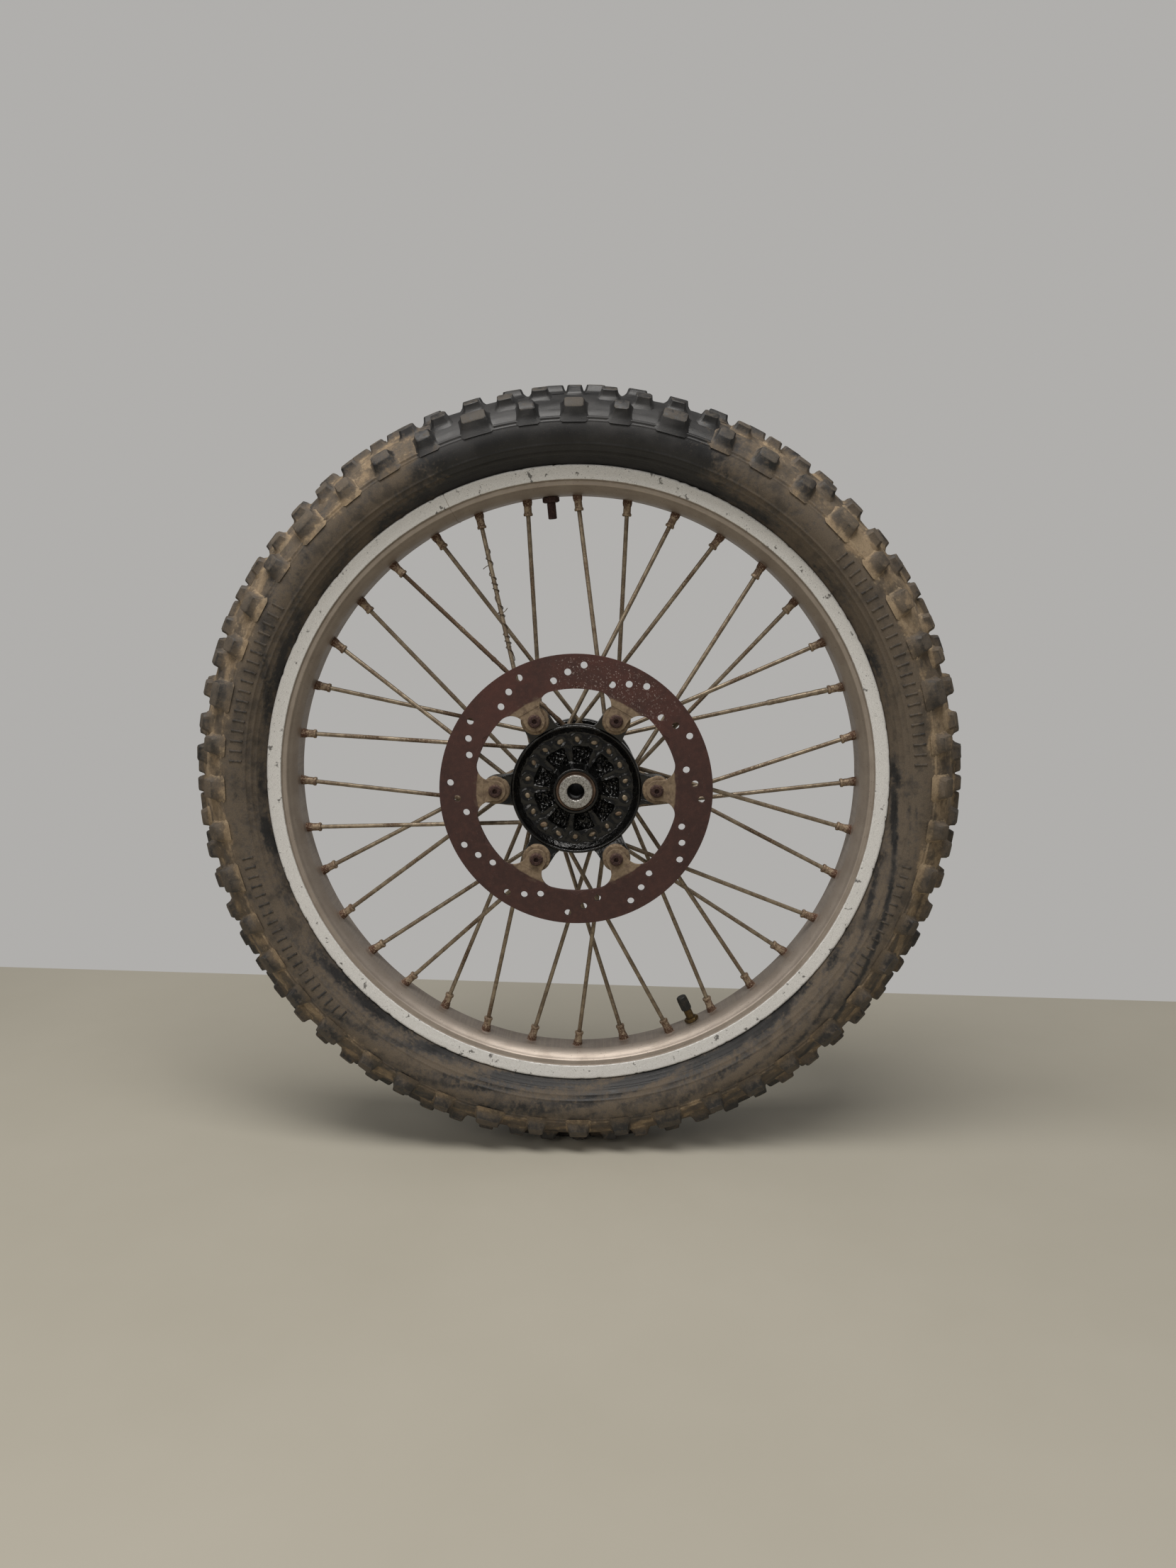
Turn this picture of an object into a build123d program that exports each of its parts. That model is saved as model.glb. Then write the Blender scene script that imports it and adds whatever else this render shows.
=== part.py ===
"""Spoked motorcycle front wheel with its brake disc.

X runs to the right, Y along the axle (the disc side is at -Y) and Z up. The origin is on the axle's
axis, in the middle plane of the rim. Angles run from +X towards +Z, seen from the disc side.
Profiles that are turned about the axle are drawn as (radius, place along Y).
"""

import math
import os

from build123d import *

os.makedirs("parts", exist_ok=True)

# Clearances
running_gap = 0.05  # radial gap of running and threaded fits
seat_gap = 0.01  # radial gap of pressed rings
soft_gap = 0.4  # between rubber pieces and what they seat on
hole_gap = 0.15  # radial gap of a fastener or a spoke in its hole

# Brake disc
disc_r = 120.0
disc_thickness = 3.5
disc_face = 54.0  # from the middle plane to the disc's outer face
window_r = 90.0
window_corner_r = 12.5
lug_count = 6
lug_half_width = 9.0
bolt_circle_r = 71.0
lug_step = 0.3
lug_step_r = 81.0
vent_r = 3.0
vent_pitch = 30.0
vent_rows = ((110.5, -4.0), (104.5, 3.5), (98.5, 11.0))  # (radius, first angle)

# Disc bolts
bolt_r = 3.0
bolt_length = 12.0
bolt_head_r = 6.0
bolt_head_height = 3.2
bolt_head_draft = 18.0  # degrees
bolt_socket_af = 4.0
bolt_socket_depth = 2.0

# Hub
bore_r = 7.5
boss_r = 20.0
boss_root_r = 22.0
left_boss_end = 54.0
right_boss_end = 48.5
left_web_face = 39.0
right_web_face = 29.0
web_thickness = 6.0
left_flange_r = 58.0
right_flange_r = 55.0
lip_width = 5.0
lip_height = 6.0
lip_round = 2.0
barrel_r = 26.0
flare_r = 41.0
left_flare_length = 18.0
right_flare_length = 15.0
hub_shoulder_r = 14.0
pad_r = 12.0
pad_height = 2.5
ear_r = 13.5
ear_root_r = 17.0
ear_thickness = 12.5
pocket_count = 9
pocket_inner_r = 23.5
pocket_outer_r = 37.5
pocket_depth = 5.0
pocket_angle = 24.0
pocket_phase = 1.0

# Bearings, seals and collars
bearing_r = 17.5
bearing_width = 11.0
inner_race_r = 10.4
outer_race_r = 14.6
ball_r = 2.975
ball_circle_r = 12.5
ball_count = 8
race_edge = 0.6
cage_inner_r = 11.4
cage_outer_r = 13.6
cage_width = 7.4
seal_width = 6.0
seal_recess = 1.0
seal_lip_width = 1.6
seal_root_r = 12.6
collar_sleeve_r = 10.5
collar_flange_r = 14.75
collar_flange_gap = 0.4
left_collar_end = 58.0
right_collar_end = 53.0
collar_edge = 0.5
tube_r = 10.2

# Spokes and nipples
spoke_r = 1.75
spoke_circle_r = 44.0
spoke_elbow_r = 2.5
spoke_head_r = 3.6
spoke_head_height = 2.2
spoke_head_draft = 25.0  # degrees
spoke_offset = 2.2  # from a web's inner face to the centre of the outer spokes
spoke_crossing = 4.2  # between the centres of crossing spokes, along Y
left_hole_phase = 8.5
right_hole_phase = -1.5
nipple_phase = -0.3
group_count = 9
nipple_side = 5.2  # from the middle plane to the outer nipples
nipple_length = 12.0
nipple_r = 3.2
nipple_base_r = 4.0
nipple_cone = 5.0
nipple_head_r = 4.8
nipple_head_height = 3.0
nipple_flat = 0.35
spoke_thread = 2.0  # how far a spoke's end stands past the rim bed

# Rim
rim_bed_r = 256.5
rim_bed_half = 10.5
rim_bed_thickness = 3.4
nipple_seat = 2.4  # from the bed's inner face to the spot face under the heads
bead_seat_r = 266.7
bead_half = 20.3
flange_r = 280.7
flange_outer_half = 26.6
groove_r = 268.0
groove_half = 24.2
shoulder_bulge = (4.3, 8.1)  # the shoulder's middle, from the bed's outer corner
groove_wall = (0.5, 1.0)  # the groove's far side, from its bottom
flange_lip = ((-1.5, 0.0), (-0.4, -0.4), (0.0, -1.2), (0.0, -2.2))  # from the flange's outer corner
bead_stop = (-1.4, 2.6)  # the foot of the flange's inner side, from its edge and the bead seat
bead_corner = (1.8, 1.3)  # the bevel at the bead seat's outer end
bead_ledge = (-0.5, -4.6)  # the seat's inner end, from its outer corner
well_top = (2.4, 2.2)  # the well's upper edge, from the bed's back and the tape's edge
well_inset = 0.3  # from the bed's edge to the well's

# Tyre and tube
section_r = 296.5  # radius to the centre of the tread's section arc
carcass_arc_r = 46.0
carcass_half_angle = 51.5
carcass_side = (306.0, 43.3)
carcass_wall = 6.5
knob_height = 7.5
knob_sink = 2.0
knob_draft = 4.0  # degrees
wall_foot = (3.3, 2.0)  # the side wall's end, from the rim flange's outer corner
bead_heel = ((0.4, -1.4), (0.2, -2.8))  # from the rim flange's outer corner
bead_width = 6.1  # from the bead seat's outer end to the bead's toe
bead_toe = (1.8, 0.8)  # the toe's rounding
bead_root = (6.5, 0.9)  # the bead's inner side, from its seat and its toe
cavity_foot = (3.8, -3.1)  # the cavity wall's end, from the rim flange's outer corner
cavity_bulge = (-2.0, 1.5)  # the cavity wall's middle, from the side's widest place less the wall
tread_pitch = 30.0
# Rows of knobs: (lean from the crown, width, length, angles within one pitch of the tread).
knob_rows = (
    (0.0, 17.0, 19.0, (3.0, 9.0, 15.0, 21.0, 27.0)),
    (12.0, 13.0, 15.0, (0.0,)),
    (22.0, 13.5, 16.0, (5.0, 15.0, 25.0)),
    (30.5, 13.5, 16.0, (10.0, 20.0)),
    (50.5, 14.0, 24.0, (15.0,)),
    (50.5, 14.0, 16.0, (7.0, 23.0)),
    (50.5, 14.0, 19.5, (0.0,)),
)
tube_wall = 2.0
tube_floor_r = 268.9
tube_foot = (4.0, -3.5)  # the tube wall's lower end, from the rim flange's outer corner
tube_corner = (6.5, 0.5)  # its bottom corner, from the bead seat and the bead's toe
tube_slope = 1.5  # how much more the hollow is set in along Y than its wall is thick

# Valve
valve_angle = -65.0
valve_r = 4.0
valve_bore_r = 2.0
valve_tip_r = 233.0
valve_base_r = 8.0
valve_base_height = 1.5
valve_nut_af = 12.0
valve_nut_height = 3.6
valve_cap_r = 5.0
valve_cap_length = 14.0
valve_cap_wall = 1.0
core_length = 16.0
core_drop = 3.0
pin_r = 0.7
pin_button_r = 1.2
pin_button_height = 0.8
pin_rise = 1.6

# Rim lock
lock_angle = 95.0
stud_r = 4.0
stud_tip_r = 237.0
lock_nut_af = 13.0
lock_nut_height = 5.0
shoe_half_angle = 7.0
shoe_half_width = 13.5
shoe_thickness = 4.2
stud_reach = 2.4

# Rim tape
tape_thickness = 1.0
tape_half = 11.5

# The axle's axis, pointing to the disc side, so that a positive turn runs from +X to +Z.
AXLE = Axis((0, 0, 0), (0, -1, 0))


def write(part: Part, name: str) -> None:
    """Label a finished piece and write it."""
    part.label = name
    export_step(part, f"parts/{name}.step")


def on_circle(radius: float, angle: float, along: float) -> Vector:
    """The point at a radius and an angle about the axle, at a place along Y."""
    turn = math.radians(angle)
    return Vector(radius * math.cos(turn), along, radius * math.sin(turn))


def radial_plane(radius: float, angle: float, along: float = 0) -> Plane:
    """A plane whose normal points away from the axle, with its x direction along Y."""
    origin = on_circle(radius, angle, along)
    return Plane(origin=origin, x_dir=(0, 1, 0), z_dir=on_circle(1, angle, 0))


def section_plane(angle: float) -> Plane:
    """A plane through the axle, with its x direction away from the axle and its y direction along Y."""
    outward = on_circle(1, angle, 0)
    return Plane(origin=(0, 0, 0), x_dir=outward, z_dir=outward.cross(Vector(0, 1, 0)))


# ---------------------------------------------------------------- brake disc
with BuildPart() as brake_disc:
    with BuildSketch(Plane.XZ.offset(disc_face)):
        Circle(disc_r)
        Circle(window_r, mode=Mode.SUBTRACT)
        with PolarLocations(bolt_circle_r, lug_count):
            Circle(lug_half_width)
            Rectangle(
                (window_r + disc_r) / 2 - bolt_circle_r,
                2 * lug_half_width,
                align=(Align.MIN, Align.CENTER),
            )
        inner_corners = vertices().filter_by(
            lambda corner: abs(math.hypot(corner.X, corner.Y) - window_r) < lug_step
        )
        fillet(inner_corners, window_corner_r)
        with PolarLocations(bolt_circle_r, lug_count):
            Circle(bolt_r + hole_gap, mode=Mode.SUBTRACT)
        for row_r, row_angle in vent_rows:
            with PolarLocations(row_r, round(360 / vent_pitch), start_angle=row_angle):
                Circle(vent_r, mode=Mode.SUBTRACT)
    extrude(amount=-disc_thickness)
    with BuildSketch(Plane.XZ.offset(disc_face)):
        RegularPolygon(lug_step_r, lug_count, major_radius=False, rotation=180 / lug_count)
    extrude(amount=-lug_step, mode=Mode.SUBTRACT)
write(brake_disc.part, "brake_disc")

disc_back = disc_face - disc_thickness

with BuildPart() as disc_bolts:
    with BuildSketch(Plane.XZ.offset(disc_face - lug_step)):
        with PolarLocations(bolt_circle_r, lug_count):
            Circle(bolt_head_r)
    extrude(amount=bolt_head_height, taper=bolt_head_draft)
    with BuildSketch(Plane.XZ.offset(disc_face - lug_step)):
        with PolarLocations(bolt_circle_r, lug_count):
            Circle(bolt_r)
    extrude(amount=-bolt_length)
    with BuildSketch(Plane.XZ.offset(disc_face - lug_step + bolt_head_height)):
        with PolarLocations(bolt_circle_r, lug_count):
            RegularPolygon(bolt_socket_af / 2, 6, major_radius=False)
    extrude(amount=-bolt_socket_depth, mode=Mode.SUBTRACT)
write(disc_bolts.part, "disc_bolts")

# ---------------------------------------------------------------- hub
left_bearing_out = left_boss_end - seal_recess - seal_width - collar_flange_gap
left_bearing_in = left_bearing_out - bearing_width
right_bearing_out = right_boss_end - seal_recess - seal_width - collar_flange_gap
right_bearing_in = right_bearing_out - bearing_width
left_web_back = left_web_face - web_thickness
right_web_back = right_web_face - web_thickness
left_lip = left_web_face + lip_height
right_lip = right_web_face + lip_height
ear_face = disc_back - pad_height

with BuildPart() as hub:
    with BuildSketch(Plane.XY):
        with BuildLine():
            Polyline(
                (boss_r, -left_boss_end),
                (boss_root_r, -left_web_face),
                (left_flange_r - lip_width, -left_web_face),
                (left_flange_r - lip_width, -left_lip),
                (left_flange_r, -left_lip),
                (left_flange_r, -left_web_back),
                (flare_r, -left_web_back),
                (barrel_r, left_flare_length - left_web_back),
                (barrel_r, right_web_back - right_flare_length),
                (flare_r, right_web_back),
                (right_flange_r, right_web_back),
                (right_flange_r, right_lip),
                (right_flange_r - lip_width, right_lip),
                (right_flange_r - lip_width, right_web_face),
                (boss_root_r, right_web_face),
                (boss_r, right_boss_end),
                (bearing_r, right_boss_end),
                (bearing_r, right_bearing_in),
                (hub_shoulder_r, right_bearing_in),
                (hub_shoulder_r, -left_bearing_in),
                (bearing_r, -left_bearing_in),
                (bearing_r, -left_boss_end),
                close=True,
            )
        make_face()
        flange_corners = vertices().filter_by(lambda corner: corner.X > right_flange_r - 2 * lip_width)
        fillet(flange_corners, lip_round)
    revolve(axis=Axis.Y)
    with BuildSketch(Plane.XZ.offset(ear_face)):
        for lug in range(lug_count):
            with BuildSketch(mode=Mode.PRIVATE) as ear:
                with PolarLocations(bolt_circle_r, 1, start_angle=lug * 360 / lug_count):
                    Circle(ear_r)
                with PolarLocations(left_flange_r - lip_width, 1, start_angle=lug * 360 / lug_count):
                    Circle(ear_root_r)
                make_hull()
            add(ear.sketch)
        Circle(left_flange_r - lip_width / 2, mode=Mode.SUBTRACT)
    extrude(amount=-ear_thickness)
    with BuildSketch(Plane.XZ.offset(ear_face)):
        with PolarLocations(bolt_circle_r, lug_count):
            Circle(pad_r)
    extrude(amount=pad_height)
    with BuildSketch(Plane.XZ.offset(disc_back)):
        with PolarLocations(bolt_circle_r, lug_count):
            Circle(bolt_r + running_gap)
    extrude(amount=-(pad_height + ear_thickness), mode=Mode.SUBTRACT)
    with BuildSketch(Plane.XZ.offset(left_web_face)):
        with PolarLocations(0, pocket_count, start_angle=pocket_phase):
            SlotArc(
                CenterArc(
                    (0, 0),
                    (pocket_inner_r + pocket_outer_r) / 2,
                    -pocket_angle / 2,
                    pocket_angle,
                    mode=Mode.PRIVATE,
                ),
                pocket_outer_r - pocket_inner_r,
            )
    extrude(amount=-pocket_depth, mode=Mode.SUBTRACT)
    with BuildSketch(Plane.XZ.offset(left_lip)):
        with PolarLocations(spoke_circle_r, 2 * group_count, start_angle=left_hole_phase):
            Circle(spoke_r + hole_gap)
    extrude(amount=-(lip_height + web_thickness), mode=Mode.SUBTRACT)
    with BuildSketch(Plane.XZ.offset(-right_web_back)):
        with PolarLocations(spoke_circle_r, 2 * group_count, start_angle=right_hole_phase):
            Circle(spoke_r + hole_gap)
    extrude(amount=-(lip_height + web_thickness), mode=Mode.SUBTRACT)
write(hub.part, "hub")

# ---------------------------------------------------------------- bearings, seals and collars
sides = {
    "left": (-1, left_bearing_out, left_boss_end, left_collar_end),
    "right": (1, right_bearing_out, right_boss_end, right_collar_end),
}
groove_ball_r = ball_r + running_gap

for side, (sign, bearing_out, boss_end, collar_end) in sides.items():
    bearing_in = bearing_out - bearing_width
    middle = sign * (bearing_out + bearing_in) / 2

    with BuildPart() as outer_race:
        with BuildSketch(Plane.XY):
            with Locations(((outer_race_r + bearing_r - seat_gap) / 2, middle)):
                Rectangle(bearing_r - seat_gap - outer_race_r, bearing_width)
            chamfer(vertices().group_by(Axis.X)[-1], race_edge)
            with Locations((ball_circle_r, middle)):
                Circle(groove_ball_r, mode=Mode.SUBTRACT)
        revolve(axis=Axis.Y)
    write(outer_race.part, f"bearing_{side}_outer_race")

    with BuildPart() as inner_race:
        with BuildSketch(Plane.XY):
            with Locations(((bore_r + inner_race_r) / 2, middle)):
                Rectangle(inner_race_r - bore_r, bearing_width)
            with Locations((ball_circle_r, middle)):
                Circle(groove_ball_r, mode=Mode.SUBTRACT)
        revolve(axis=Axis.Y)
    write(inner_race.part, f"bearing_{side}_inner_race")

    with BuildPart() as balls:
        for ball in range(ball_count):
            with Locations(on_circle(ball_circle_r, ball * 360 / ball_count, middle)):
                Sphere(ball_r)
    write(balls.part, f"bearing_{side}_balls")

    with BuildPart() as cage:
        with BuildSketch(Plane.XY):
            with Locations(((cage_inner_r + cage_outer_r) / 2, middle)):
                Rectangle(cage_outer_r - cage_inner_r, cage_width)
        revolve(axis=Axis.Y)
        for ball in range(ball_count):
            with BuildSketch(radial_plane(hub_shoulder_r / 2, ball * 360 / ball_count, middle)):
                Circle(groove_ball_r)
            extrude(amount=hub_shoulder_r, mode=Mode.SUBTRACT)
    write(cage.part, f"bearing_{side}_cage")

    seal_out = boss_end - seal_recess
    with BuildPart() as seal:
        with BuildSketch(Plane.XY):
            with BuildLine():
                Polyline(
                    (bearing_r - seat_gap, sign * seal_out),
                    (bearing_r - seat_gap, sign * (seal_out - seal_width)),
                    (seal_root_r + seal_lip_width, sign * (seal_out - seal_width)),
                    (seal_root_r + seal_lip_width, sign * (seal_out - seal_lip_width)),
                    (seal_root_r, sign * (seal_out - 2 * seal_lip_width)),
                    (collar_sleeve_r + running_gap, sign * (seal_out - seal_width + seal_lip_width)),
                    (collar_sleeve_r + running_gap, sign * (seal_out - 2 * seal_lip_width)),
                    (seal_root_r, sign * seal_out),
                    close=True,
                )
            make_face()
        revolve(axis=Axis.Y)
    write(seal.part, f"seal_{side}")

    flange_in = seal_out + collar_flange_gap
    with BuildPart() as collar:
        with BuildSketch(Plane.XY):
            with BuildLine():
                Polyline(
                    (bore_r, sign * bearing_out),
                    (collar_sleeve_r, sign * bearing_out),
                    (collar_sleeve_r, sign * flange_in),
                    (collar_flange_r, sign * flange_in),
                    (collar_flange_r, sign * (collar_end - collar_edge)),
                    (collar_flange_r - collar_edge, sign * collar_end),
                    (bore_r + collar_edge, sign * collar_end),
                    (bore_r, sign * (collar_end - collar_edge)),
                    close=True,
                )
            make_face()
        revolve(axis=Axis.Y)
    write(collar.part, f"collar_{side}")

with BuildPart() as distance_tube:
    with BuildSketch(Plane.XY):
        with Locations(((bore_r + tube_r) / 2, (right_bearing_in - left_bearing_in) / 2)):
            Rectangle(tube_r - bore_r, right_bearing_in + left_bearing_in)
    revolve(axis=Axis.Y)
write(distance_tube.part, "distance_tube")

# ---------------------------------------------------------------- spokes and nipples
group_pitch = 360 / group_count
quarter = group_pitch / 4

# Each lacing: side along Y, web outer and inner face, nipple angle, hub hole angle, and whether it is
# the spoke that lies against the web (0) or the one that crosses over it (1).
lacings = {
    "left_leading": (-1, left_web_face, left_web_back, 3 * quarter, 6 * quarter + left_hole_phase, 1),
    "left_trailing": (-1, left_web_face, left_web_back, 5 * quarter, left_hole_phase, 0),
    "right_leading": (1, right_web_face, right_web_back, 2 * quarter, 6 * quarter + right_hole_phase, 1),
    "right_trailing": (1, right_web_face, right_web_back, 4 * quarter, right_hole_phase, 0),
}

with BuildPart() as nipple_blank:
    with BuildSketch(Plane.XZ):
        with BuildLine():
            Polyline(
                (spoke_r + running_gap, -nipple_length),
                (nipple_r - nipple_flat, -nipple_length),
                (nipple_r, nipple_flat - nipple_length),
                (nipple_r, -nipple_cone),
                (nipple_base_r, nipple_flat - nipple_cone / 2),
                (nipple_base_r, nipple_seat),
                (nipple_head_r, nipple_seat),
                (nipple_head_r, nipple_seat + nipple_head_height / 2),
                (nipple_base_r, nipple_seat + nipple_head_height),
                (spoke_r + running_gap, nipple_seat + nipple_head_height),
                close=True,
            )
        make_face()
    revolve(axis=Axis.Z)

with BuildPart() as nipple_hole:
    Cylinder(
        nipple_base_r + hole_gap,
        nipple_seat + rim_bed_thickness,
        align=(Align.CENTER, Align.CENTER, Align.MIN),
    )
    with Locations((0, 0, -rim_bed_thickness)):
        Cylinder(
            nipple_base_r + hole_gap,
            rim_bed_thickness,
            align=(Align.CENTER, Align.CENTER, Align.MIN),
        )
    with Locations((0, 0, nipple_seat)):
        Cylinder(
            nipple_head_r + hole_gap,
            nipple_head_height + rim_bed_thickness,
            align=(Align.CENTER, Align.CENTER, Align.MIN),
        )

nipple_places = {}
for lacing, (sign, web_face, web_back, nipple_angle, hole_angle, crossing) in lacings.items():
    along = web_back - spoke_offset - crossing * spoke_crossing
    head = on_circle(spoke_circle_r, hole_angle, sign * web_face)
    elbow = on_circle(spoke_circle_r, hole_angle, sign * along)
    bed = on_circle(rim_bed_r, nipple_angle + nipple_phase, sign * (nipple_side - crossing * spoke_crossing))
    lean = (bed - elbow).normalized()
    with BuildPart() as spoke:
        with BuildSketch(Plane(origin=head, z_dir=(0, sign, 0))):
            Circle(spoke_head_r)
        extrude(amount=spoke_head_height, taper=spoke_head_draft)
        with BuildLine() as route:
            FilletPolyline(head, elbow, bed + lean * spoke_thread, radius=spoke_elbow_r)
        with BuildSketch(Plane(origin=head, z_dir=(0, -sign, 0))):
            Circle(spoke_r)
        sweep(path=route.line)
    with BuildPart() as spokes:
        for turn in range(group_count):
            add(spoke.part.rotate(AXLE, turn * group_pitch))
    write(spokes.part, f"spokes_{lacing}")
    place = Plane(origin=bed, x_dir=(0, 1, 0), z_dir=lean).location
    nipple_places[lacing] = place
    one_nipple = nipple_blank.part.moved(place)
    with BuildPart() as nipples:
        for turn in range(group_count):
            add(one_nipple.rotate(AXLE, turn * group_pitch))
    write(nipples.part, f"nipples_{lacing}")

# ---------------------------------------------------------------- rim
bed_back = rim_bed_r + rim_bed_thickness
tape_r = rim_bed_r + nipple_seat + nipple_head_height + 2 * soft_gap

with BuildPart() as rim:
    with BuildSketch(Plane.XY):
        with BuildLine():
            bed_line = Line((rim_bed_r, 0), (rim_bed_r, rim_bed_half))
            shoulder = ThreePointArc(
                bed_line @ 1,
                (rim_bed_r + shoulder_bulge[0], rim_bed_half + shoulder_bulge[1]),
                (groove_r, groove_half),
            )
            Polyline(
                shoulder @ 1,
                (groove_r + groove_wall[0], groove_half + groove_wall[1]),
                *[(flange_r + rise, flange_outer_half + shift) for rise, shift in flange_lip],
                (flange_r + bead_stop[0], bead_half + bead_stop[1]),
                (bead_seat_r + bead_corner[0], bead_half),
                (bead_seat_r, bead_half - bead_corner[1]),
                (bead_seat_r + bead_ledge[0], bead_half + bead_ledge[1]),
                (bed_back + well_top[0], tape_half + well_top[1]),
                (bed_back, rim_bed_half - well_inset),
                (bed_back, 0),
                (rim_bed_r, 0),
            )
        make_face()
        mirror(about=Plane.XZ)
    revolve(axis=Axis.Y)
    for place in nipple_places.values():
        one_hole = nipple_hole.part.moved(place)
        for turn in range(group_count):
            add(one_hole.rotate(AXLE, turn * group_pitch), mode=Mode.SUBTRACT)
    for hole_angle, hole_r in ((valve_angle, valve_r), (lock_angle, stud_r)):
        with BuildSketch(radial_plane(rim_bed_r - rim_bed_thickness, hole_angle)):
            Circle(hole_r + hole_gap)
        extrude(amount=3 * rim_bed_thickness, mode=Mode.SUBTRACT)
write(rim.part, "rim")

with BuildPart() as rim_tape:
    with BuildSketch(Plane.XY):
        with Locations((tape_r + tape_thickness / 2, 0)):
            Rectangle(tape_thickness, 2 * tape_half)
    revolve(axis=Axis.Y)
    for hole_angle, hole_r in ((valve_angle, valve_r), (lock_angle, stud_r)):
        with BuildSketch(radial_plane(rim_bed_r, hole_angle)):
            Circle(hole_r + hole_gap)
        extrude(amount=6 * rim_bed_thickness, mode=Mode.SUBTRACT)
write(rim_tape.part, "rim_tape")

# ---------------------------------------------------------------- tyre and tube
cavity_arc_r = carcass_arc_r - carcass_wall
knob_root_r = carcass_arc_r - knob_sink
toe_half = bead_half - bead_width
cavity_side = (carcass_side[0] + cavity_bulge[0], carcass_side[1] - carcass_wall + cavity_bulge[1])


def section_point(arc_r: float, angle: float) -> tuple:
    """The (radius, place along Y) point of an arc about the section's centre, from the crown."""
    turn = math.radians(angle)
    return (section_r + arc_r * math.cos(turn), arc_r * math.sin(turn))


def knob_plane(angle: float, lean: float) -> Plane:
    """A plane under a tread knob, whose normal leans from the crown by an angle."""
    outward = on_circle(1, angle, 0)
    turn = math.radians(lean)
    normal = outward * math.cos(turn) + Vector(0, math.sin(turn), 0)
    across = Vector(0, math.cos(turn), 0) - outward * math.sin(turn)
    return Plane(origin=outward * section_r + normal * knob_root_r, x_dir=across, z_dir=normal)


knobs = []
for lean, width, length, angles in knob_rows:
    with BuildPart() as knob:
        with BuildSketch():
            Rectangle(width, length)
        extrude(amount=knob_height + knob_sink, taper=knob_draft)
    for pitch in range(round(360 / tread_pitch)):
        for angle in angles:
            for side_lean in {lean, -lean}:
                plane = knob_plane(pitch * tread_pitch + angle, side_lean)
                knobs.append(knob.part.moved(plane.location))

with BuildPart() as tyre:
    with BuildSketch(Plane.XY):
        with BuildLine():
            crown = ThreePointArc(
                section_point(carcass_arc_r, 0),
                section_point(carcass_arc_r, carcass_half_angle / 2),
                section_point(carcass_arc_r, carcass_half_angle),
            )
            side_wall = ThreePointArc(
                crown @ 1,
                carcass_side,
                (flange_r + wall_foot[0], flange_outer_half + wall_foot[1]),
            )
            bead = Polyline(
                side_wall @ 1,
                *[(flange_r + rise, flange_outer_half + shift) for rise, shift in bead_heel],
                (flange_r + bead_stop[0], bead_half + bead_stop[1] - soft_gap),
                (bead_seat_r + bead_corner[0], bead_half - soft_gap),
                (bead_seat_r + soft_gap, bead_half - bead_corner[1] - soft_gap),
                (bead_seat_r + soft_gap, toe_half + bead_toe[1]),
                (bead_seat_r + bead_toe[0], toe_half),
                (bead_seat_r + bead_root[0], toe_half + bead_root[1]),
                (flange_r + cavity_foot[0], flange_outer_half + cavity_foot[1]),
            )
            inner_wall = ThreePointArc(
                bead @ 1,
                cavity_side,
                section_point(cavity_arc_r, carcass_half_angle),
            )
            ceiling = ThreePointArc(
                inner_wall @ 1,
                section_point(cavity_arc_r, carcass_half_angle / 2),
                section_point(cavity_arc_r, 0),
            )
            Line(ceiling @ 1, crown @ 0)
        make_face()
        mirror(about=Plane.XZ)
    revolve(axis=Axis.Y)
    add(knobs, clean=False)
write(tyre.part, "tyre")

def tube_section(depth: float) -> list:
    """The inner tube's half section, at a depth below its outer skin, as lines and arcs."""
    arc_r = cavity_arc_r - soft_gap - depth
    floor_r = tube_floor_r + depth
    inset = depth / 3
    ceiling = ThreePointArc(
        section_point(arc_r, 0),
        section_point(arc_r, carcass_half_angle / 2),
        section_point(arc_r, carcass_half_angle),
    )
    side = ThreePointArc(
        ceiling @ 1,
        (cavity_side[0] - inset, cavity_side[1] - soft_gap - tube_slope * depth),
        (flange_r + tube_foot[0] + inset, flange_outer_half + tube_foot[1] - tube_slope * depth),
    )
    bottom = Polyline(
        side @ 1,
        (bead_seat_r + tube_corner[0] + inset, toe_half + tube_corner[1] - tube_slope * depth),
        (floor_r, toe_half - soft_gap - tube_slope * depth),
        (floor_r, 0),
        ceiling @ 0,
    )
    return [ceiling, side, bottom]


with BuildPart() as inner_tube:
    for depth, mode in ((0, Mode.ADD), (tube_wall, Mode.SUBTRACT)):
        with BuildSketch(Plane.XY):
            with BuildLine():
                add(tube_section(depth))
            make_face()
            mirror(about=Plane.XZ)
        revolve(axis=Axis.Y, mode=mode)
    with BuildSketch(radial_plane(rim_bed_r, valve_angle)):
        Circle(valve_r + running_gap)
    extrude(amount=tube_floor_r + 2 * tube_wall - rim_bed_r, mode=Mode.SUBTRACT)
write(inner_tube.part, "inner_tube")

# ---------------------------------------------------------------- valve
stem_base = tube_floor_r + tube_wall + running_gap
stem_length = stem_base - valve_tip_r

with BuildPart() as valve_stem:
    with BuildSketch(radial_plane(valve_tip_r, valve_angle)):
        Circle(valve_r)
    extrude(amount=stem_length)
    with BuildSketch(radial_plane(stem_base, valve_angle)):
        Circle(valve_base_r)
    extrude(amount=valve_base_height)
    with BuildSketch(radial_plane(valve_tip_r, valve_angle)):
        Circle(valve_bore_r)
    extrude(amount=stem_length + valve_base_height, mode=Mode.SUBTRACT)
write(valve_stem.part, "valve_stem")

core_tip_r = valve_tip_r + core_drop
with BuildPart() as valve_core:
    with BuildSketch(radial_plane(core_tip_r, valve_angle)):
        Circle(valve_bore_r - running_gap)
        Circle(pin_r + running_gap, mode=Mode.SUBTRACT)
    extrude(amount=core_length)
write(valve_core.part, "valve_core")

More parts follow.
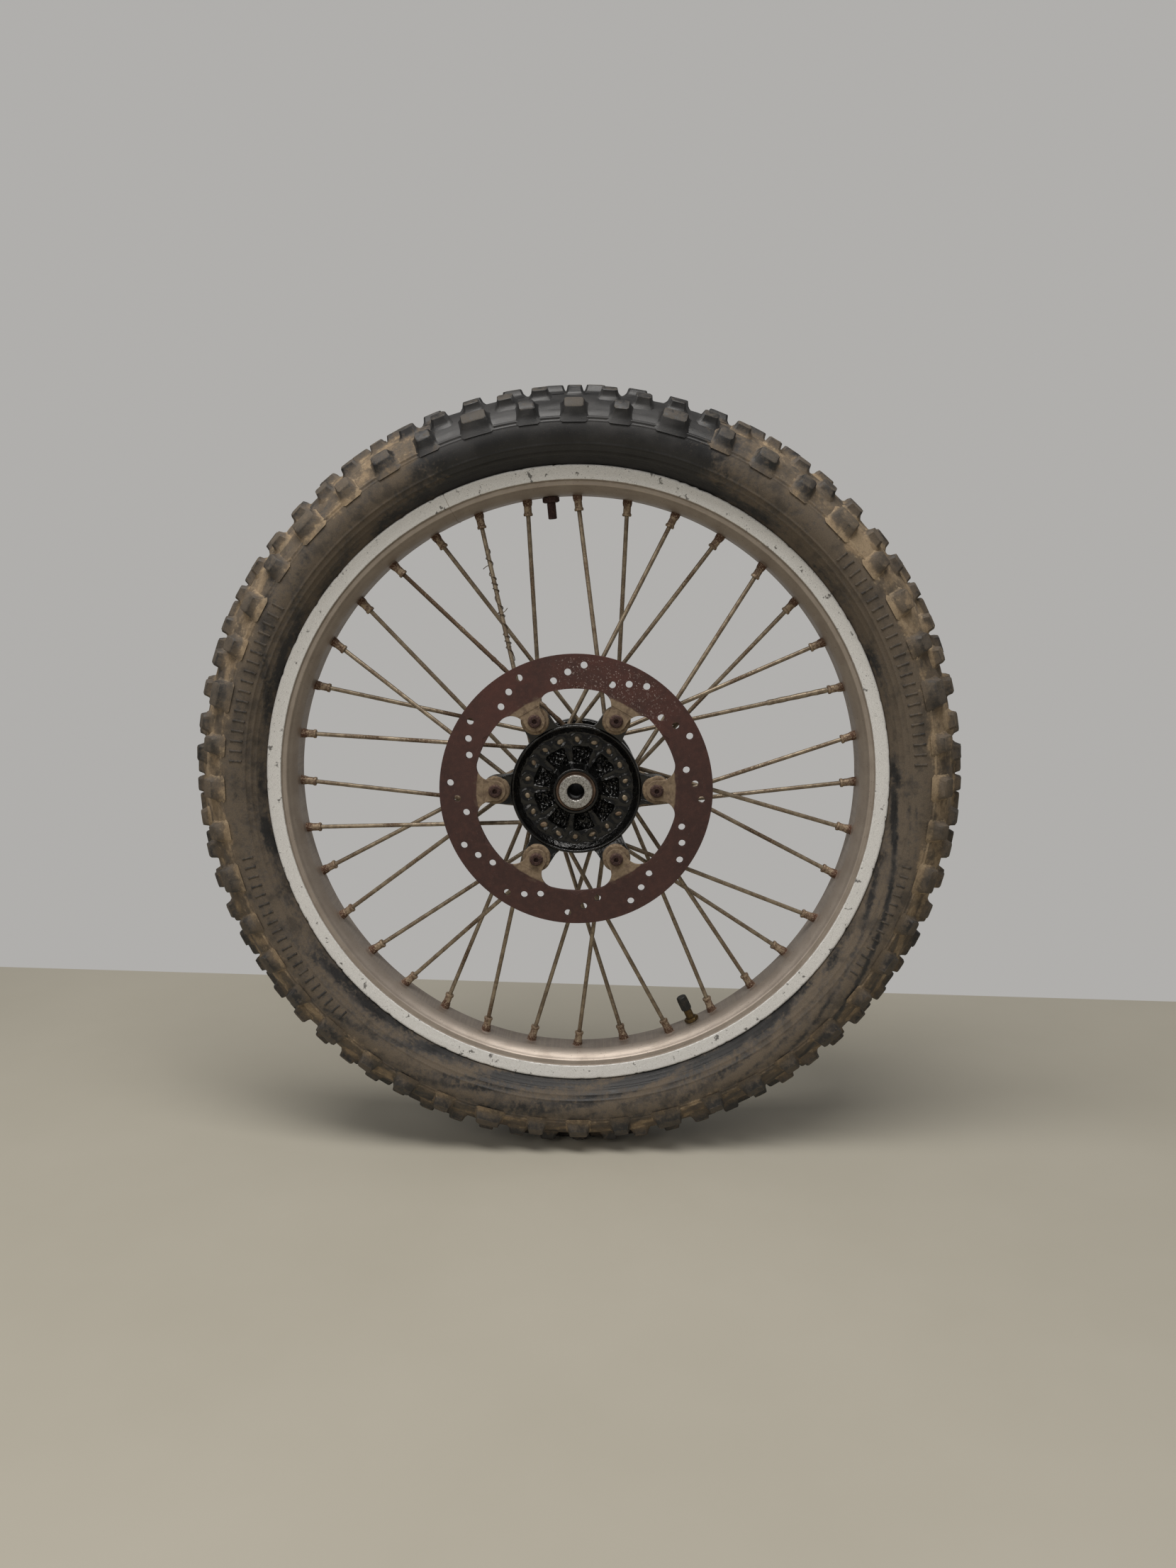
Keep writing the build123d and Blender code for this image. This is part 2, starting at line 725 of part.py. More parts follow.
with BuildPart() as valve_pin:
    with BuildSketch(radial_plane(core_tip_r - pin_rise, valve_angle)):
        Circle(pin_r)
    extrude(amount=pin_rise + core_length + pin_button_height)
    with BuildSketch(radial_plane(core_tip_r - pin_rise - pin_button_height, valve_angle)):
        Circle(pin_button_r)
    extrude(amount=pin_button_height)
    with BuildSketch(radial_plane(core_tip_r + core_length + running_gap, valve_angle)):
        Circle(pin_button_r)
    extrude(amount=pin_button_height)
write(valve_pin.part, "valve_pin")

with BuildPart() as valve_nut:
    with BuildSketch(radial_plane(rim_bed_r - valve_nut_height - soft_gap / 2, valve_angle)):
        RegularPolygon(valve_nut_af / 2, 6, major_radius=False)
        Circle(valve_r + running_gap, mode=Mode.SUBTRACT)
    extrude(amount=valve_nut_height)
write(valve_nut.part, "valve_nut")

cap_mouth_r = valve_tip_r + valve_cap_length - 3 * valve_cap_wall
with BuildPart() as valve_cap:
    with BuildSketch(radial_plane(cap_mouth_r, valve_angle)):
        Circle(valve_cap_r)
    extrude(amount=-valve_cap_length)
    chamfer(faces().sort_by(SortBy.DISTANCE)[0].edges(), valve_cap_wall / 2)
    with BuildSketch(radial_plane(cap_mouth_r, valve_angle)):
        Circle(valve_r + running_gap)
    extrude(amount=valve_cap_wall - valve_cap_length, mode=Mode.SUBTRACT)
write(valve_cap.part, "valve_cap")

# ---------------------------------------------------------------- rim lock
shoe_in_r = tape_r + tape_thickness + soft_gap
shoe_out_r = shoe_in_r + shoe_thickness

with BuildPart() as rim_lock_shoe:
    with BuildSketch(section_plane(lock_angle - shoe_half_angle)):
        with Locations(((shoe_in_r + shoe_out_r) / 2, 0)):
            RectangleRounded(shoe_thickness, 2 * shoe_half_width, shoe_thickness / 3)
    revolve(axis=AXLE, revolution_arc=2 * shoe_half_angle)
    with BuildSketch(radial_plane(rim_bed_r, lock_angle)):
        Circle(stud_r + running_gap)
    extrude(amount=shoe_in_r + stud_reach - rim_bed_r, mode=Mode.SUBTRACT)
write(rim_lock_shoe.part, "rim_lock_shoe")

with BuildPart() as rim_lock_stud:
    with BuildSketch(radial_plane(stud_tip_r, lock_angle)):
        Circle(stud_r)
    extrude(amount=shoe_in_r + stud_reach - running_gap - stud_tip_r)
    chamfer(faces().sort_by(SortBy.DISTANCE)[0].edges(), stud_r / 5)
write(rim_lock_stud.part, "rim_lock_stud")

with BuildPart() as rim_lock_nut:
    with BuildSketch(radial_plane(rim_bed_r - lock_nut_height - soft_gap / 2, lock_angle)):
        RegularPolygon(lock_nut_af / 2, 6, major_radius=False)
        Circle(stud_r + running_gap, mode=Mode.SUBTRACT)
    extrude(amount=lock_nut_height)
write(rim_lock_nut.part, "rim_lock_nut")
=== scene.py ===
"""The looks of an off-road motorcycle's front wheel with its brake disc.

X runs to the right, Y along the axle (the disc side is at -Y) and Z up. The origin is on the axle's
axis, in the rim's middle plane. Angles run from +X towards +Z. Sizes in the classes are millimetres.
"""

from __future__ import annotations

import logging
import math
from dataclasses import dataclass
from enum import Enum
from statistics import NormalDist

import bmesh
import bpy
import numpy as np
from mathutils import Matrix, Vector


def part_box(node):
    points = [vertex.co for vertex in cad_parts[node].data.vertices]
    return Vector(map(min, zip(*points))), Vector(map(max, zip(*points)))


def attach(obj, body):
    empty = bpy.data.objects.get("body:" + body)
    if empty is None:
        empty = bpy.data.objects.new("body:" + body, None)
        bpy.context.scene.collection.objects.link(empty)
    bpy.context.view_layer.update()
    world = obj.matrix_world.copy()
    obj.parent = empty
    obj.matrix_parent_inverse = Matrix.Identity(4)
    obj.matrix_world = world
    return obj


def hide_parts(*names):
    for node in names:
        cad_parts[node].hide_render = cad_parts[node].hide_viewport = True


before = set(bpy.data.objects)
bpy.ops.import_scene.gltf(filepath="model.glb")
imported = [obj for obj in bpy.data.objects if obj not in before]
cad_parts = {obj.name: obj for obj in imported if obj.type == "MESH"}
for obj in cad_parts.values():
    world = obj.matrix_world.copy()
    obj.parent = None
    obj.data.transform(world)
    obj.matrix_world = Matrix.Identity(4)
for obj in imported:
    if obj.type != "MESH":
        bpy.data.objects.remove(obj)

log = logging.getLogger("wheel")

MM = 0.001
AXLE = np.array([0.0, 1.0, 0.0])
WHEEL = "wheel"
# The angle between faces, in degrees, above which an edge is left sharp.
SHARP = 38.0
# The standard deviation of the noise texture's values about 0.5.
NOISE_SPREAD = 0.13
# How many times longer a line round the axle is than it is wide.
LINE_STRETCH = 30
# The length of the waves in a ring's worn edge, and half the edge's softness, in mm.
EDGE_WAVE = 9
EDGE_SOFT = 0.6
# The share of the way from a sector's middle to its edge, in cosine, that has the full coat.
SECTOR_FULL = 0.35


class Pattern(Enum):
    """How a coat of dirt, wear, grain, painted shade or painted light is spread over a surface."""

    CLOUDS = "soft patches"
    SPOTS = "small round specks"
    AROUND = "fine lines that run round the axle"


class Side(Enum):
    """A side of the wheel, with the sign of Y that it lies at."""

    LEFT = -1
    RIGHT = 1


# ---------------------------------------------------------------- finishes


def linear(colour: str) -> tuple:
    """Turns a colour's sRGB hex value into linear light.

    Args:
        colour: The colour as "#rrggbb".

    Returns:
        Red, green, blue and an alpha of 1.
    """
    shares = [int(colour[i : i + 2], 16) / 255 for i in (1, 3, 5)]
    return (*(s / 12.92 if s <= 0.04045 else ((s + 0.055) / 1.055) ** 2.4 for s in shares), 1.0)


def add(tree: bpy.types.NodeTree, kind: str, inputs: dict | None = None, **settings) -> bpy.types.Node:
    """Adds a node with its settings and links.

    Args:
        tree: The material's node tree.
        kind: The node's type, without "ShaderNode".
        inputs: A value or another node's socket for each input, by its name or number.
        settings: The node's own properties.

    Returns:
        The new node.
    """
    node = tree.nodes.new(f"ShaderNode{kind}")
    for name, value in settings.items():
        setattr(node, name, value)
    for name, value in (inputs or {}).items():
        if isinstance(value, bpy.types.NodeSocket):
            tree.links.new(value, node.inputs[name])
        else:
            node.inputs[name].default_value = value
    return node


def result(
    tree: bpy.types.NodeTree, kind: str, inputs: dict, output: int | str = 0, **settings
) -> bpy.types.NodeSocket:
    """Adds a node, as add does, and returns one of its outputs, by its name or number."""
    return add(tree, kind, inputs, **settings).outputs[output]


def times(
    tree: bpy.types.NodeTree, first: bpy.types.NodeSocket, second: object, plus: object = 0.0
) -> bpy.types.NodeSocket:
    """The product of two values, each a number or a socket, and a third added to it."""
    return result(tree, "Math", {0: first, 1: second, 2: plus}, operation="MULTIPLY_ADD")


@dataclass(frozen=True)
class Coat:
    """One coat of dirt, rust, wear, grain, painted shade or painted light on a finish.

    size is the pattern's own size in mm and cover the share of the surface it takes. mark names a
    number on the points that brings more of the coat where it is high. ring is a pair of radii from
    the axle, and sector an angle about the axle with a half width, outside which there is none.
    """

    colour: str
    size: float
    cover: float
    pattern: Pattern = Pattern.CLOUDS
    soft: float = 0.06
    strength: float = 1.0
    rough: float | None = None
    metal: float | None = None
    lift: float = 0.0
    mark: str = ""
    pull: float = 0.9
    ring: tuple = ()
    ragged: float = 2.0
    sector: tuple = ()


@dataclass(frozen=True)
class Finish:
    """A material: its ground colour and shine, and the coats on it."""

    name: str
    colour: str
    rough: float
    metal: float = 0.0
    coats: tuple = ()

    def material(self) -> bpy.types.Material:
        """Returns the material, made at its first use."""
        return bpy.data.materials.get(self.name) or self._make()

    def _make(self) -> bpy.types.Material:
        """Lays the coats over the ground in order, each with its colour, shine and height."""
        made = bpy.data.materials.new(self.name)
        made.use_nodes = True
        tree = made.node_tree
        tree.nodes.clear()
        place = add(tree, "TexCoord").outputs["Object"]
        flat = result(tree, "VectorMath", {0: place, 1: (1, 0, 1)}, operation="MULTIPLY")
        radius = result(tree, "VectorMath", {0: flat}, "Value", operation="LENGTH")
        colour, rough, metal, height = linear(self.colour), self.rough, self.metal, None
        for coat in self.coats:
            share = self._share(tree, coat, place, flat, radius)
            colour = result(tree, "Mix", {0: share, 6: colour, 7: linear(coat.colour)}, 2, data_type="RGBA")
            if coat.rough is not None:
                rough = result(tree, "Mix", {0: share, 2: rough, 3: coat.rough})
            if coat.metal is not None:
                metal = result(tree, "Mix", {0: share, 2: metal, 3: coat.metal})
            if coat.lift:
                height = times(tree, share, coat.lift, height or 0.0)
        inputs = {"Base Color": colour, "Roughness": rough, "Metallic": metal}
        if height:
            inputs["Normal"] = result(tree, "Bump", {"Height": height, "Distance": MM})
        shader = add(tree, "BsdfPrincipled", inputs)
        add(tree, "OutputMaterial", {"Surface": shader.outputs[0]})
        return made

    @staticmethod
    def _share(
        tree: bpy.types.NodeTree,
        coat: Coat,
        place: bpy.types.NodeSocket,
        flat: bpy.types.NodeSocket,
        radius: bpy.types.NodeSocket,
    ) -> bpy.types.NodeSocket:
        """How much of a coat shows at each point, from 0 to 1.

        The pattern's noise is compared with a threshold that leaves the wanted cover, and the result
        is multiplied by the windows of radius and angle.

        Args:
            tree: The material's node tree.
            coat: The coat.
            place: The point.
            flat: The point with no Y.
            radius: The distance from the axle.

        Returns:
            The share's socket.
        """
        fine = 1 / (coat.size * MM)
        if coat.pattern is Pattern.AROUND:
            far = times(tree, radius, LINE_STRETCH * fine)
            part = add(tree, "SeparateXYZ", {0: place}).outputs
            long = [times(tree, part[i], fine) for i in (0, 2)]
            spot = result(tree, "CombineXYZ", {0: far, 1: long[0], 2: long[1]})
        else:
            spot = result(tree, "VectorMath", {0: place, "Scale": fine}, operation="SCALE")
        if coat.pattern is Pattern.SPOTS:
            value = result(tree, "TexVoronoi", {"Vector": spot, "Scale": 1.0}, "Distance")
            low, high = coat.cover + coat.soft, coat.cover - coat.soft
        else:
            noise = {"Vector": spot, "Scale": 1.0, "Detail": 5.0, "Roughness": 0.62}
            value = result(tree, "TexNoise", noise)
            middle = 0.5 - NOISE_SPREAD * NormalDist().inv_cdf(min(max(coat.cover, 0.002), 0.998))
            low, high = middle - coat.soft, middle + coat.soft
        if coat.mark:
            mark = add(tree, "Attribute", attribute_name=coat.mark).outputs["Fac"]
            signed = -coat.pull if coat.pattern is Pattern.SPOTS else coat.pull
            value = times(tree, result(tree, "Math", {0: mark, 1: 0.5}, operation="SUBTRACT"), signed, value)
        limits = {0: value, 1: low, 2: high, 4: coat.strength}
        share = result(tree, "MapRange", limits, interpolation_type="SMOOTHSTEP")
        if coat.ring:
            wave = result(tree, "TexNoise", {"Vector": place, "Scale": 1 / (EDGE_WAVE * MM), "Detail": 4.0})
            worn = times(tree, wave, 2 * coat.ragged * MM, radius)
            for edge, sign in zip(coat.ring, (1, -1)):
                middle = (edge + coat.ragged) * MM
                reach = EDGE_SOFT * MM * sign
                window = result(tree, "MapRange", {0: worn, 1: middle - reach, 2: middle + reach})
                share = times(tree, share, window)
        if coat.sector:
            turn = math.radians(coat.sector[0])
            towards = (math.cos(turn), 0.0, math.sin(turn))
            unit = result(tree, "VectorMath", {0: flat}, operation="NORMALIZE")
            along = result(tree, "VectorMath", {0: unit, 1: towards}, "Value", operation="DOT_PRODUCT")
            edge = math.cos(math.radians(coat.sector[1]))
            full = 1 - SECTOR_FULL * (1 - edge)
            share = times(tree, share, result(tree, "MapRange", {0: along, 1: edge, 2: full}))
        return share


# Carbon-black rubber, moulded: dull charcoal where dry, polished black where rubbed, holding tan dust.
TYRE_RUBBER = Finish(
    "moulded tyre rubber",
    "#1b1b1c",
    0.4,
    coats=(
        Coat("#2c2b2b", 26, 0.5, soft=0.16, rough=0.55),
        Coat("#5b534b", 15, 0.5, soft=0.18, strength=0.95, rough=0.78, mark="dust", pull=0.95),
        Coat("#6d6050", 4, 0.4, soft=0.14, strength=0.7, rough=0.88, lift=0.1, mark="dust", pull=0.7),
        Coat("#6f6150", 9, 0.4, soft=0.12, strength=0.8, rough=0.92, lift=0.1, mark="tread", pull=0.62),
        Coat("#958167", 14, 0.2, soft=0.09, strength=0.85, rough=0.95, lift=0.15, mark="tread", pull=0.5),
        Coat("#aa967a", 5, 0.1, soft=0.09, strength=0.6, rough=0.95, mark="tread", pull=0.42),
        Coat("#5b5349", 4, 0.3, soft=0.1, strength=0.6, rough=0.85, mark="wear", pull=0.7),
        Coat("#1c1b1b", 17, 0.3, soft=0.1, strength=0.5, rough=0.45),
        Coat("#171616", 0.9, 0.4, soft=0.2, strength=0.3, lift=0.12),
        Coat("#8d7d66", 1.6, 0.1, pattern=Pattern.SPOTS, soft=0.05, strength=0.35),
    ),
)
# Butyl inner tube and rim tape: matt black rubber with talc left on it.
TUBE_RUBBER = Finish(
    "butyl rubber with talc",
    "#1a1a1b",
    0.7,
    coats=(
        Coat("#55524e", 12, 0.35, soft=0.15, strength=0.6),
        Coat("#2a2827", 1.2, 0.5, soft=0.2, lift=0.05),
    ),
)
# Extruded aluminium, anodised champagne, with the outer band bare, scuffed and oxidised to silver; painted
# shade darkens the groove beside the band, the bed and the flange's edge, and grime lies on the weld.
RIM_METAL = Finish(
    "anodised aluminium rim",
    "#b2a79d",
    0.47,
    metal=0.8,
    coats=(
        Coat("#9a8e84", 22, 0.5, soft=0.16, strength=0.6, rough=0.5),
        Coat("#c9bdac", 1.2, 0.45, pattern=Pattern.AROUND, soft=0.12, strength=0.3, lift=0.02),
        Coat("#f1f0ee", 30, 0.5, soft=0.08, rough=0.44, metal=0.18, mark="bare", pull=3.0),
        Coat("#f6f5f2", 2.5, 0.34, soft=0.12, strength=0.6, mark="bare", pull=0.5, rough=0.5),
        Coat("#8f8c87", 1.6, 0.2, pattern=Pattern.AROUND, soft=0.06, strength=0.5, mark="bare", pull=0.2),
        # Painted shade and grime: dull brown-grey where its mark is high, in the groove, over the bed, at the
        # flange's edge and on the weld.
        Coat("#6b5f50", 5, 0.24, soft=0.1, strength=0.5, rough=0.8, metal=0.1, mark="grime", pull=0.8),
        Coat("#6d4227", 3, 0.3, soft=0.1, strength=0.85, rough=0.9, metal=0.0, mark="rust", pull=1.0),
        Coat("#35302a", 7, 0.06, soft=0.03, strength=0.8, rough=0.8, metal=0.2, mark="bare", pull=0.12),
        Coat("#3b352e", 3.2, 0.085, pattern=Pattern.SPOTS, soft=0.03, strength=0.85, rough=0.8, metal=0.1),
    ),
)
# Zinc-plated steel wire, drawn: the plating has dulled to tan, with brown rust specks and bright spots.
SPOKE_ZINC = Finish(
    "zinc-plated spoke wire",
    "#796b5a",
    0.45,
    metal=0.5,
    coats=(
        Coat("#9a8c77", 6, 0.5, soft=0.1, strength=0.85, rough=0.38),
        Coat("#6a5541", 3, 0.36, soft=0.08, strength=0.85, rough=0.8, metal=0.15, lift=0.05, mark="rust"),
        Coat("#43301f", 1.2, 0.2, soft=0.06, strength=0.8, rough=0.9, metal=0.0, lift=0.06, mark="rust"),
        Coat("#cfc3ad", 1.1, 0.16, pattern=Pattern.SPOTS, soft=0.06, strength=0.6),
    ),
)
# Plated steel nipples, machined and now rusted: red-brown crust with bare tan edges.
NIPPLE_RUST = Finish(
    "rusted steel nipple",
    "#6b5646",
    0.66,
    metal=0.3,
    coats=(
        Coat("#a08e77", 4, 0.5, soft=0.1, strength=0.9, rough=0.5, metal=0.5),
        Coat("#4a2d1f", 2.2, 0.42, soft=0.08, strength=0.9, rough=0.95, metal=0.0, lift=0.08, mark="rust"),
        Coat("#b3a089", 1.0, 0.26, soft=0.07, strength=0.75),
    ),
)
# Die-cast aluminium hub under thick black enamel: deep gloss with slight orange peel and dust in it.
HUB_ENAMEL = Finish(
    "thick black enamel",
    "#060606",
    0.1,
    coats=(
        Coat("#080808", 12, 0.5, soft=0.2, lift=0.25),
        Coat("#0a0a0a", 3.0, 0.5, soft=0.25, lift=0.05),
        Coat("#1c1916", 8, 0.1, soft=0.12, strength=0.5, rough=0.5, mark="dust", pull=0.4),
        Coat("#5c5040", 1.6, 0.04, soft=0.04, strength=0.6, rough=0.85, mark="dust", pull=0.25),
    ),
)
# The ears' machined pads, where the enamel is gone and tan dust has caked on the casting.
PAD_DUST = Finish(
    "dusty cast pad",
    "#6f5f4d",
    0.85,
    coats=(
        Coat("#8a7860", 6, 0.5, soft=0.12, strength=0.9),
        Coat("#5d4a38", 2.5, 0.35, soft=0.1, strength=0.8, lift=0.06),
        Coat("#3a2a20", 1.1, 0.14, soft=0.05, strength=0.7, lift=0.05),
    ),
)
# Stamped stainless disc with an even coat of brown-purple rust, tan dust on the lugs and bright scratches;
# lighter clouds painted over its upper half as light from above, and pale specks on the braking band's upper
# right as a painted sheen.
DISC_STEEL = Finish(
    "rusted disc steel",
    "#432b27",
    0.62,
    metal=0.18,
    coats=(
        Coat("#352220", 30, 0.5, soft=0.16, strength=0.8),
        Coat("#53352e", 5, 0.36, soft=0.14, strength=0.5, lift=0.02),
        Coat("#614238", 1.0, 0.3, pattern=Pattern.AROUND, soft=0.1, strength=0.4, lift=0.02),
        # Painted light: lighter, redder clouds over the upper half of the disc, as if lit from above.
        Coat("#5a332c", 40, 0.5, soft=0.2, strength=0.6, sector=(90, 80)),
        Coat("#2c1c1a", 0.9, 0.25, soft=0.08, strength=0.5, lift=0.03),
        Coat("#7b6a55", 18, 0.97, soft=0.12, rough=0.88, metal=0.0, ring=(0, 87.2), ragged=1.6),
        Coat("#8f7c67", 2.2, 0.4, soft=0.1, strength=0.65, ring=(0, 87), ragged=2.5),
        Coat("#57463a", 6, 0.34, soft=0.08, strength=0.65, ring=(0, 90), ragged=3.0),
        # Painted sheen: pale, less rough specks on the braking band, only towards the top right.
        Coat("#b7a9a2", 1.3, 0.16, soft=0.03, strength=0.8, rough=0.5, ring=(88, 117), sector=(70, 34)),
        Coat("#a3938d", 6, 0.06, pattern=Pattern.AROUND, soft=0.03, strength=0.7, ring=(87, 118)),
        Coat("#8f6c60", 2.0, 0.07, pattern=Pattern.SPOTS, soft=0.03, strength=0.4),
    ),
)
# Zinc-plated button-head screws, rusted through: dark red-brown and pitted, dust in the sockets.
BOLT_RUST = Finish(
    "rusted screw",
    "#3b2724",
    0.8,
    metal=0.2,
    coats=(
        Coat("#523a32", 2.2, 0.4, soft=0.1, strength=0.9),
        Coat("#2a1a17", 1.0, 0.36, soft=0.08, strength=0.9, lift=0.12),
        Coat("#806a5b", 0.8, 0.14, soft=0.05, strength=0.7, mark="wear", pull=0.5),
    ),
)
# Hardened bearing steel, ground: bright, with faint lines round the axle.
BEARING_STEEL = Finish(
    "ground bearing steel",
    "#a6a7a8",
    0.22,
    metal=1.0,
    coats=(
        Coat("#8c8d8e", 2, 0.5, pattern=Pattern.AROUND, soft=0.2, strength=0.5),
        Coat("#77725f", 6, 0.2, soft=0.15, strength=0.5, rough=0.4),
    ),
)
# Turned steel collars, galvanised: bright grey crystals with dark specks and worn rims, and painted shade in
# the bores.
COLLAR_ZINC = Finish(
    "galvanised collar",
    "#a8a6a1",
    0.42,
    metal=0.75,
    coats=(
        Coat("#c9c8c5", 2.2, 0.45, soft=0.07, strength=0.85, rough=0.34, lift=0.05),
        Coat("#6d6962", 1.1, 0.34, soft=0.06, strength=0.85, rough=0.6, lift=0.06),
        Coat("#3f3a34", 1.5, 0.24, pattern=Pattern.SPOTS, soft=0.05, strength=0.85, rough=0.8, metal=0.2),
        Coat("#5a4636", 2.0, 0.4, soft=0.1, strength=0.9, rough=0.9, metal=0.0, mark="rust", pull=1.2),
        # Painted shade: near black in the bore, standing in for the shade deep inside the hub.
        Coat("#2b2520", 3.0, 0.5, soft=0.1, rough=0.95, metal=0.0, mark="bore", pull=3.0),
    ),
)
# The drawn tube between the bearings, dark with old grease and dust where an axle ran in it, and painted
# darker still as the shade deep inside the hub.
SHADE_DARK_TUBE_STEEL = Finish(
    "greasy steel tube",
    "#2b2723",
    0.75,
    metal=0.2,
    coats=(
        Coat("#3d352d", 6, 0.4, soft=0.14, strength=0.8),
        Coat("#1b1815", 2, 0.4, soft=0.1, strength=0.8, rough=0.5),
    ),
)
# Nitrile seal lips: black rubber under a brown film of dust and old grease.
SEAL_RUBBER = Finish(
    "greasy seal rubber",
    "#4f3d30",
    0.6,
    coats=(
        Coat("#7a6350", 4, 0.5, soft=0.14, strength=0.8, rough=0.85),
        Coat("#221b17", 2, 0.32, soft=0.1, strength=0.8, rough=0.35),
    ),
)
# Turned brass valve parts, gone brown in the open air.
VALVE_BRASS = Finish(
    "weathered brass",
    "#5e4c30",
    0.5,
    metal=0.85,
    coats=(
        Coat("#8f7a4c", 2.5, 0.22, soft=0.12, strength=0.8, rough=0.3),
        Coat("#4a3a24", 3, 0.4, soft=0.1, strength=0.85, rough=0.75, metal=0.3, lift=0.04),
    ),
)
# Moulded polyethylene valve cap: black, slightly glossy, dusty between the knurls.
CAP_PLASTIC = Finish(
    "moulded black cap",
    "#141414",
    0.42,
    coats=(
        Coat("#4d4438", 3, 0.34, soft=0.12, strength=0.7, rough=0.85),
        Coat("#222222", 0.8, 0.5, soft=0.2),
    ),
)
# Steel wire wrapped round a spoke as a repair, dull grey-brown.
TIE_WIRE = Finish(
    "binding wire",
    "#574b3f",
    0.6,
    metal=0.5,
    coats=(
        Coat("#8a7a66", 2.5, 0.4, soft=0.12, strength=0.7),
        Coat("#35281e", 1.4, 0.35, soft=0.1, strength=0.8, rough=0.9, metal=0.0),
    ),
)


# ---------------------------------------------------------------- surfaces


@dataclass
class Shell:
    """A surface: points in mm, four-sided faces, and named numbers for each point."""

    points: np.ndarray
    faces: np.ndarray
    marks: dict

    def outwards(self, centre: np.ndarray | float = 0.0) -> Shell:
        """Turns the faces over where needed, so that they point outwards.

        Args:
            centre: What an open surface has to face away from. A closed one encloses a volume, and
                any place gives the same sign.

        Returns:
            The surface itself.
        """
        corners = self.points[self.faces]
        middle = corners.mean(axis=1) - centre
        across = np.cross(corners[:, 2] - corners[:, 0], corners[:, 3] - corners[:, 1])
        if (middle * across).sum() < 0:
            self.faces = self.faces[:, ::-1]
        return self


def grid(points: np.ndarray, round_rows: bool, round_columns: bool, **marks: np.ndarray) -> Shell:
    """Makes a surface from a grid of points: each point is joined to the next in its row and column.

    Args:
        points: The points, rows by columns by 3, in mm.
        round_rows: Whether the last row is joined to the first.
        round_columns: Whether the last column is joined to the first.
        marks: A number for each point, rows by columns.

    Returns:
        The surface, facing outwards.
    """
    rows, columns = points.shape[:2]
    down = np.arange(rows if round_rows else rows - 1)[:, None]
    over = np.arange(columns if round_columns else columns - 1)[None, :]
    next_down, next_over = (down + 1) % rows, (over + 1) % columns
    corners = [down * columns + over, down * columns + next_over]
    corners += [next_down * columns + next_over, next_down * columns + over]
    faces = np.stack(corners, axis=-1).reshape(-1, 4)
    flat = {name: np.broadcast_to(mark, (rows, columns)).reshape(-1) for name, mark in marks.items()}
    return Shell(points.reshape(-1, 3), faces, flat).outwards()


def joined(shells: list) -> Shell:
    """Puts several surfaces into one."""
    starts = np.cumsum([0] + [len(s.points) for s in shells[:-1]])
    names = {name for s in shells for name in s.marks}
    marks = {
        name: np.concatenate([s.marks.get(name, np.zeros(len(s.points))) for s in shells]) for name in names
    }
    faces = np.concatenate([s.faces + start for s, start in zip(shells, starts)])
    return Shell(np.concatenate([s.points for s in shells]), faces, marks)


def placed(shell: Shell, origin: np.ndarray, across: np.ndarray, up: np.ndarray) -> Shell:
    """Moves a surface from its own frame to a place on the wheel.

    Args:
        shell: The surface, with its height along its own z.
        origin: The place, in mm.
        across: The direction of its x, a unit vector.
        up: The direction of its z, a unit vector.

    Returns:
        The surface in its place.
    """
    turn = np.stack([across, np.cross(up, across), up])
    return Shell(shell.points @ turn + origin, shell.faces, shell.marks).outwards()


def welded(shell: Shell) -> tuple:
    """Joins points that share a place, and turns faces with two equal corners into triangles.

    Returns:
        The points, the marks, and the faces as two arrays, of four and of three corners.
    """
    keys = np.round(shell.points / 1e-4).astype(np.int64)
    _, first, where = np.unique(keys, axis=0, return_index=True, return_inverse=True)
    faces = where.reshape(-1)[shell.faces]
    twin = faces == np.roll(faces, -1, axis=1)
    slim = faces[twin.sum(axis=1) == 1]
    start = np.argmax(twin[twin.sum(axis=1) == 1], axis=1)
    order = (start[:, None] + np.arange(1, 4)) % 4
    marks = {name: mark[first] for name, mark in shell.marks.items()}
    return shell.points[first], marks, faces[~twin.any(axis=1)], np.take_along_axis(slim, order, axis=1)


def piece(
    name: str, shell: Shell, finish: Finish, body: str, stands_for: tuple, sharp: float = SHARP
) -> bpy.types.Object:
    """Makes an object of a surface, on a body of the frame.

    Args:
        name: The piece's name.
        shell: Its surface.
        finish: Its finish.
        body: The body it rides on.
        stands_for: The nodes that it replaces.
        sharp: The angle in degrees above which an edge isn't smoothed.

    Returns:
        The object.
    """
    points, marks, fours, threes = welded(shell)
    mesh = bpy.data.meshes.new(name)
    mesh.vertices.add(len(points))
    mesh.vertices.foreach_set("co", (points * MM).astype(np.float32).ravel())
    mesh.loops.add(fours.size + threes.size)
    mesh.loops.foreach_set("vertex_index", np.concatenate([fours.ravel(), threes.ravel()]).astype(np.int32))
    mesh.polygons.add(len(fours) + len(threes))
    starts = np.concatenate([np.arange(len(fours)) * 4, fours.size + np.arange(len(threes)) * 3])
    mesh.polygons.foreach_set("loop_start", starts.astype(np.int32))
    mesh.update(calc_edges=True)
    mesh.validate()
    for mark, values in marks.items():
        layer = mesh.attributes.new(mark, "FLOAT", "POINT")
        layer.data.foreach_set("value", values.astype(np.float32))
    return shown(name, mesh, finish, body, stands_for, sharp)


def linked(name: str, data: bpy.types.ID) -> bpy.types.Object:
    """Makes an object of a mesh, a light or a camera, in the scene's collection."""
    made = bpy.data.objects.new(name, data)
    bpy.context.scene.collection.objects.link(made)
    return made


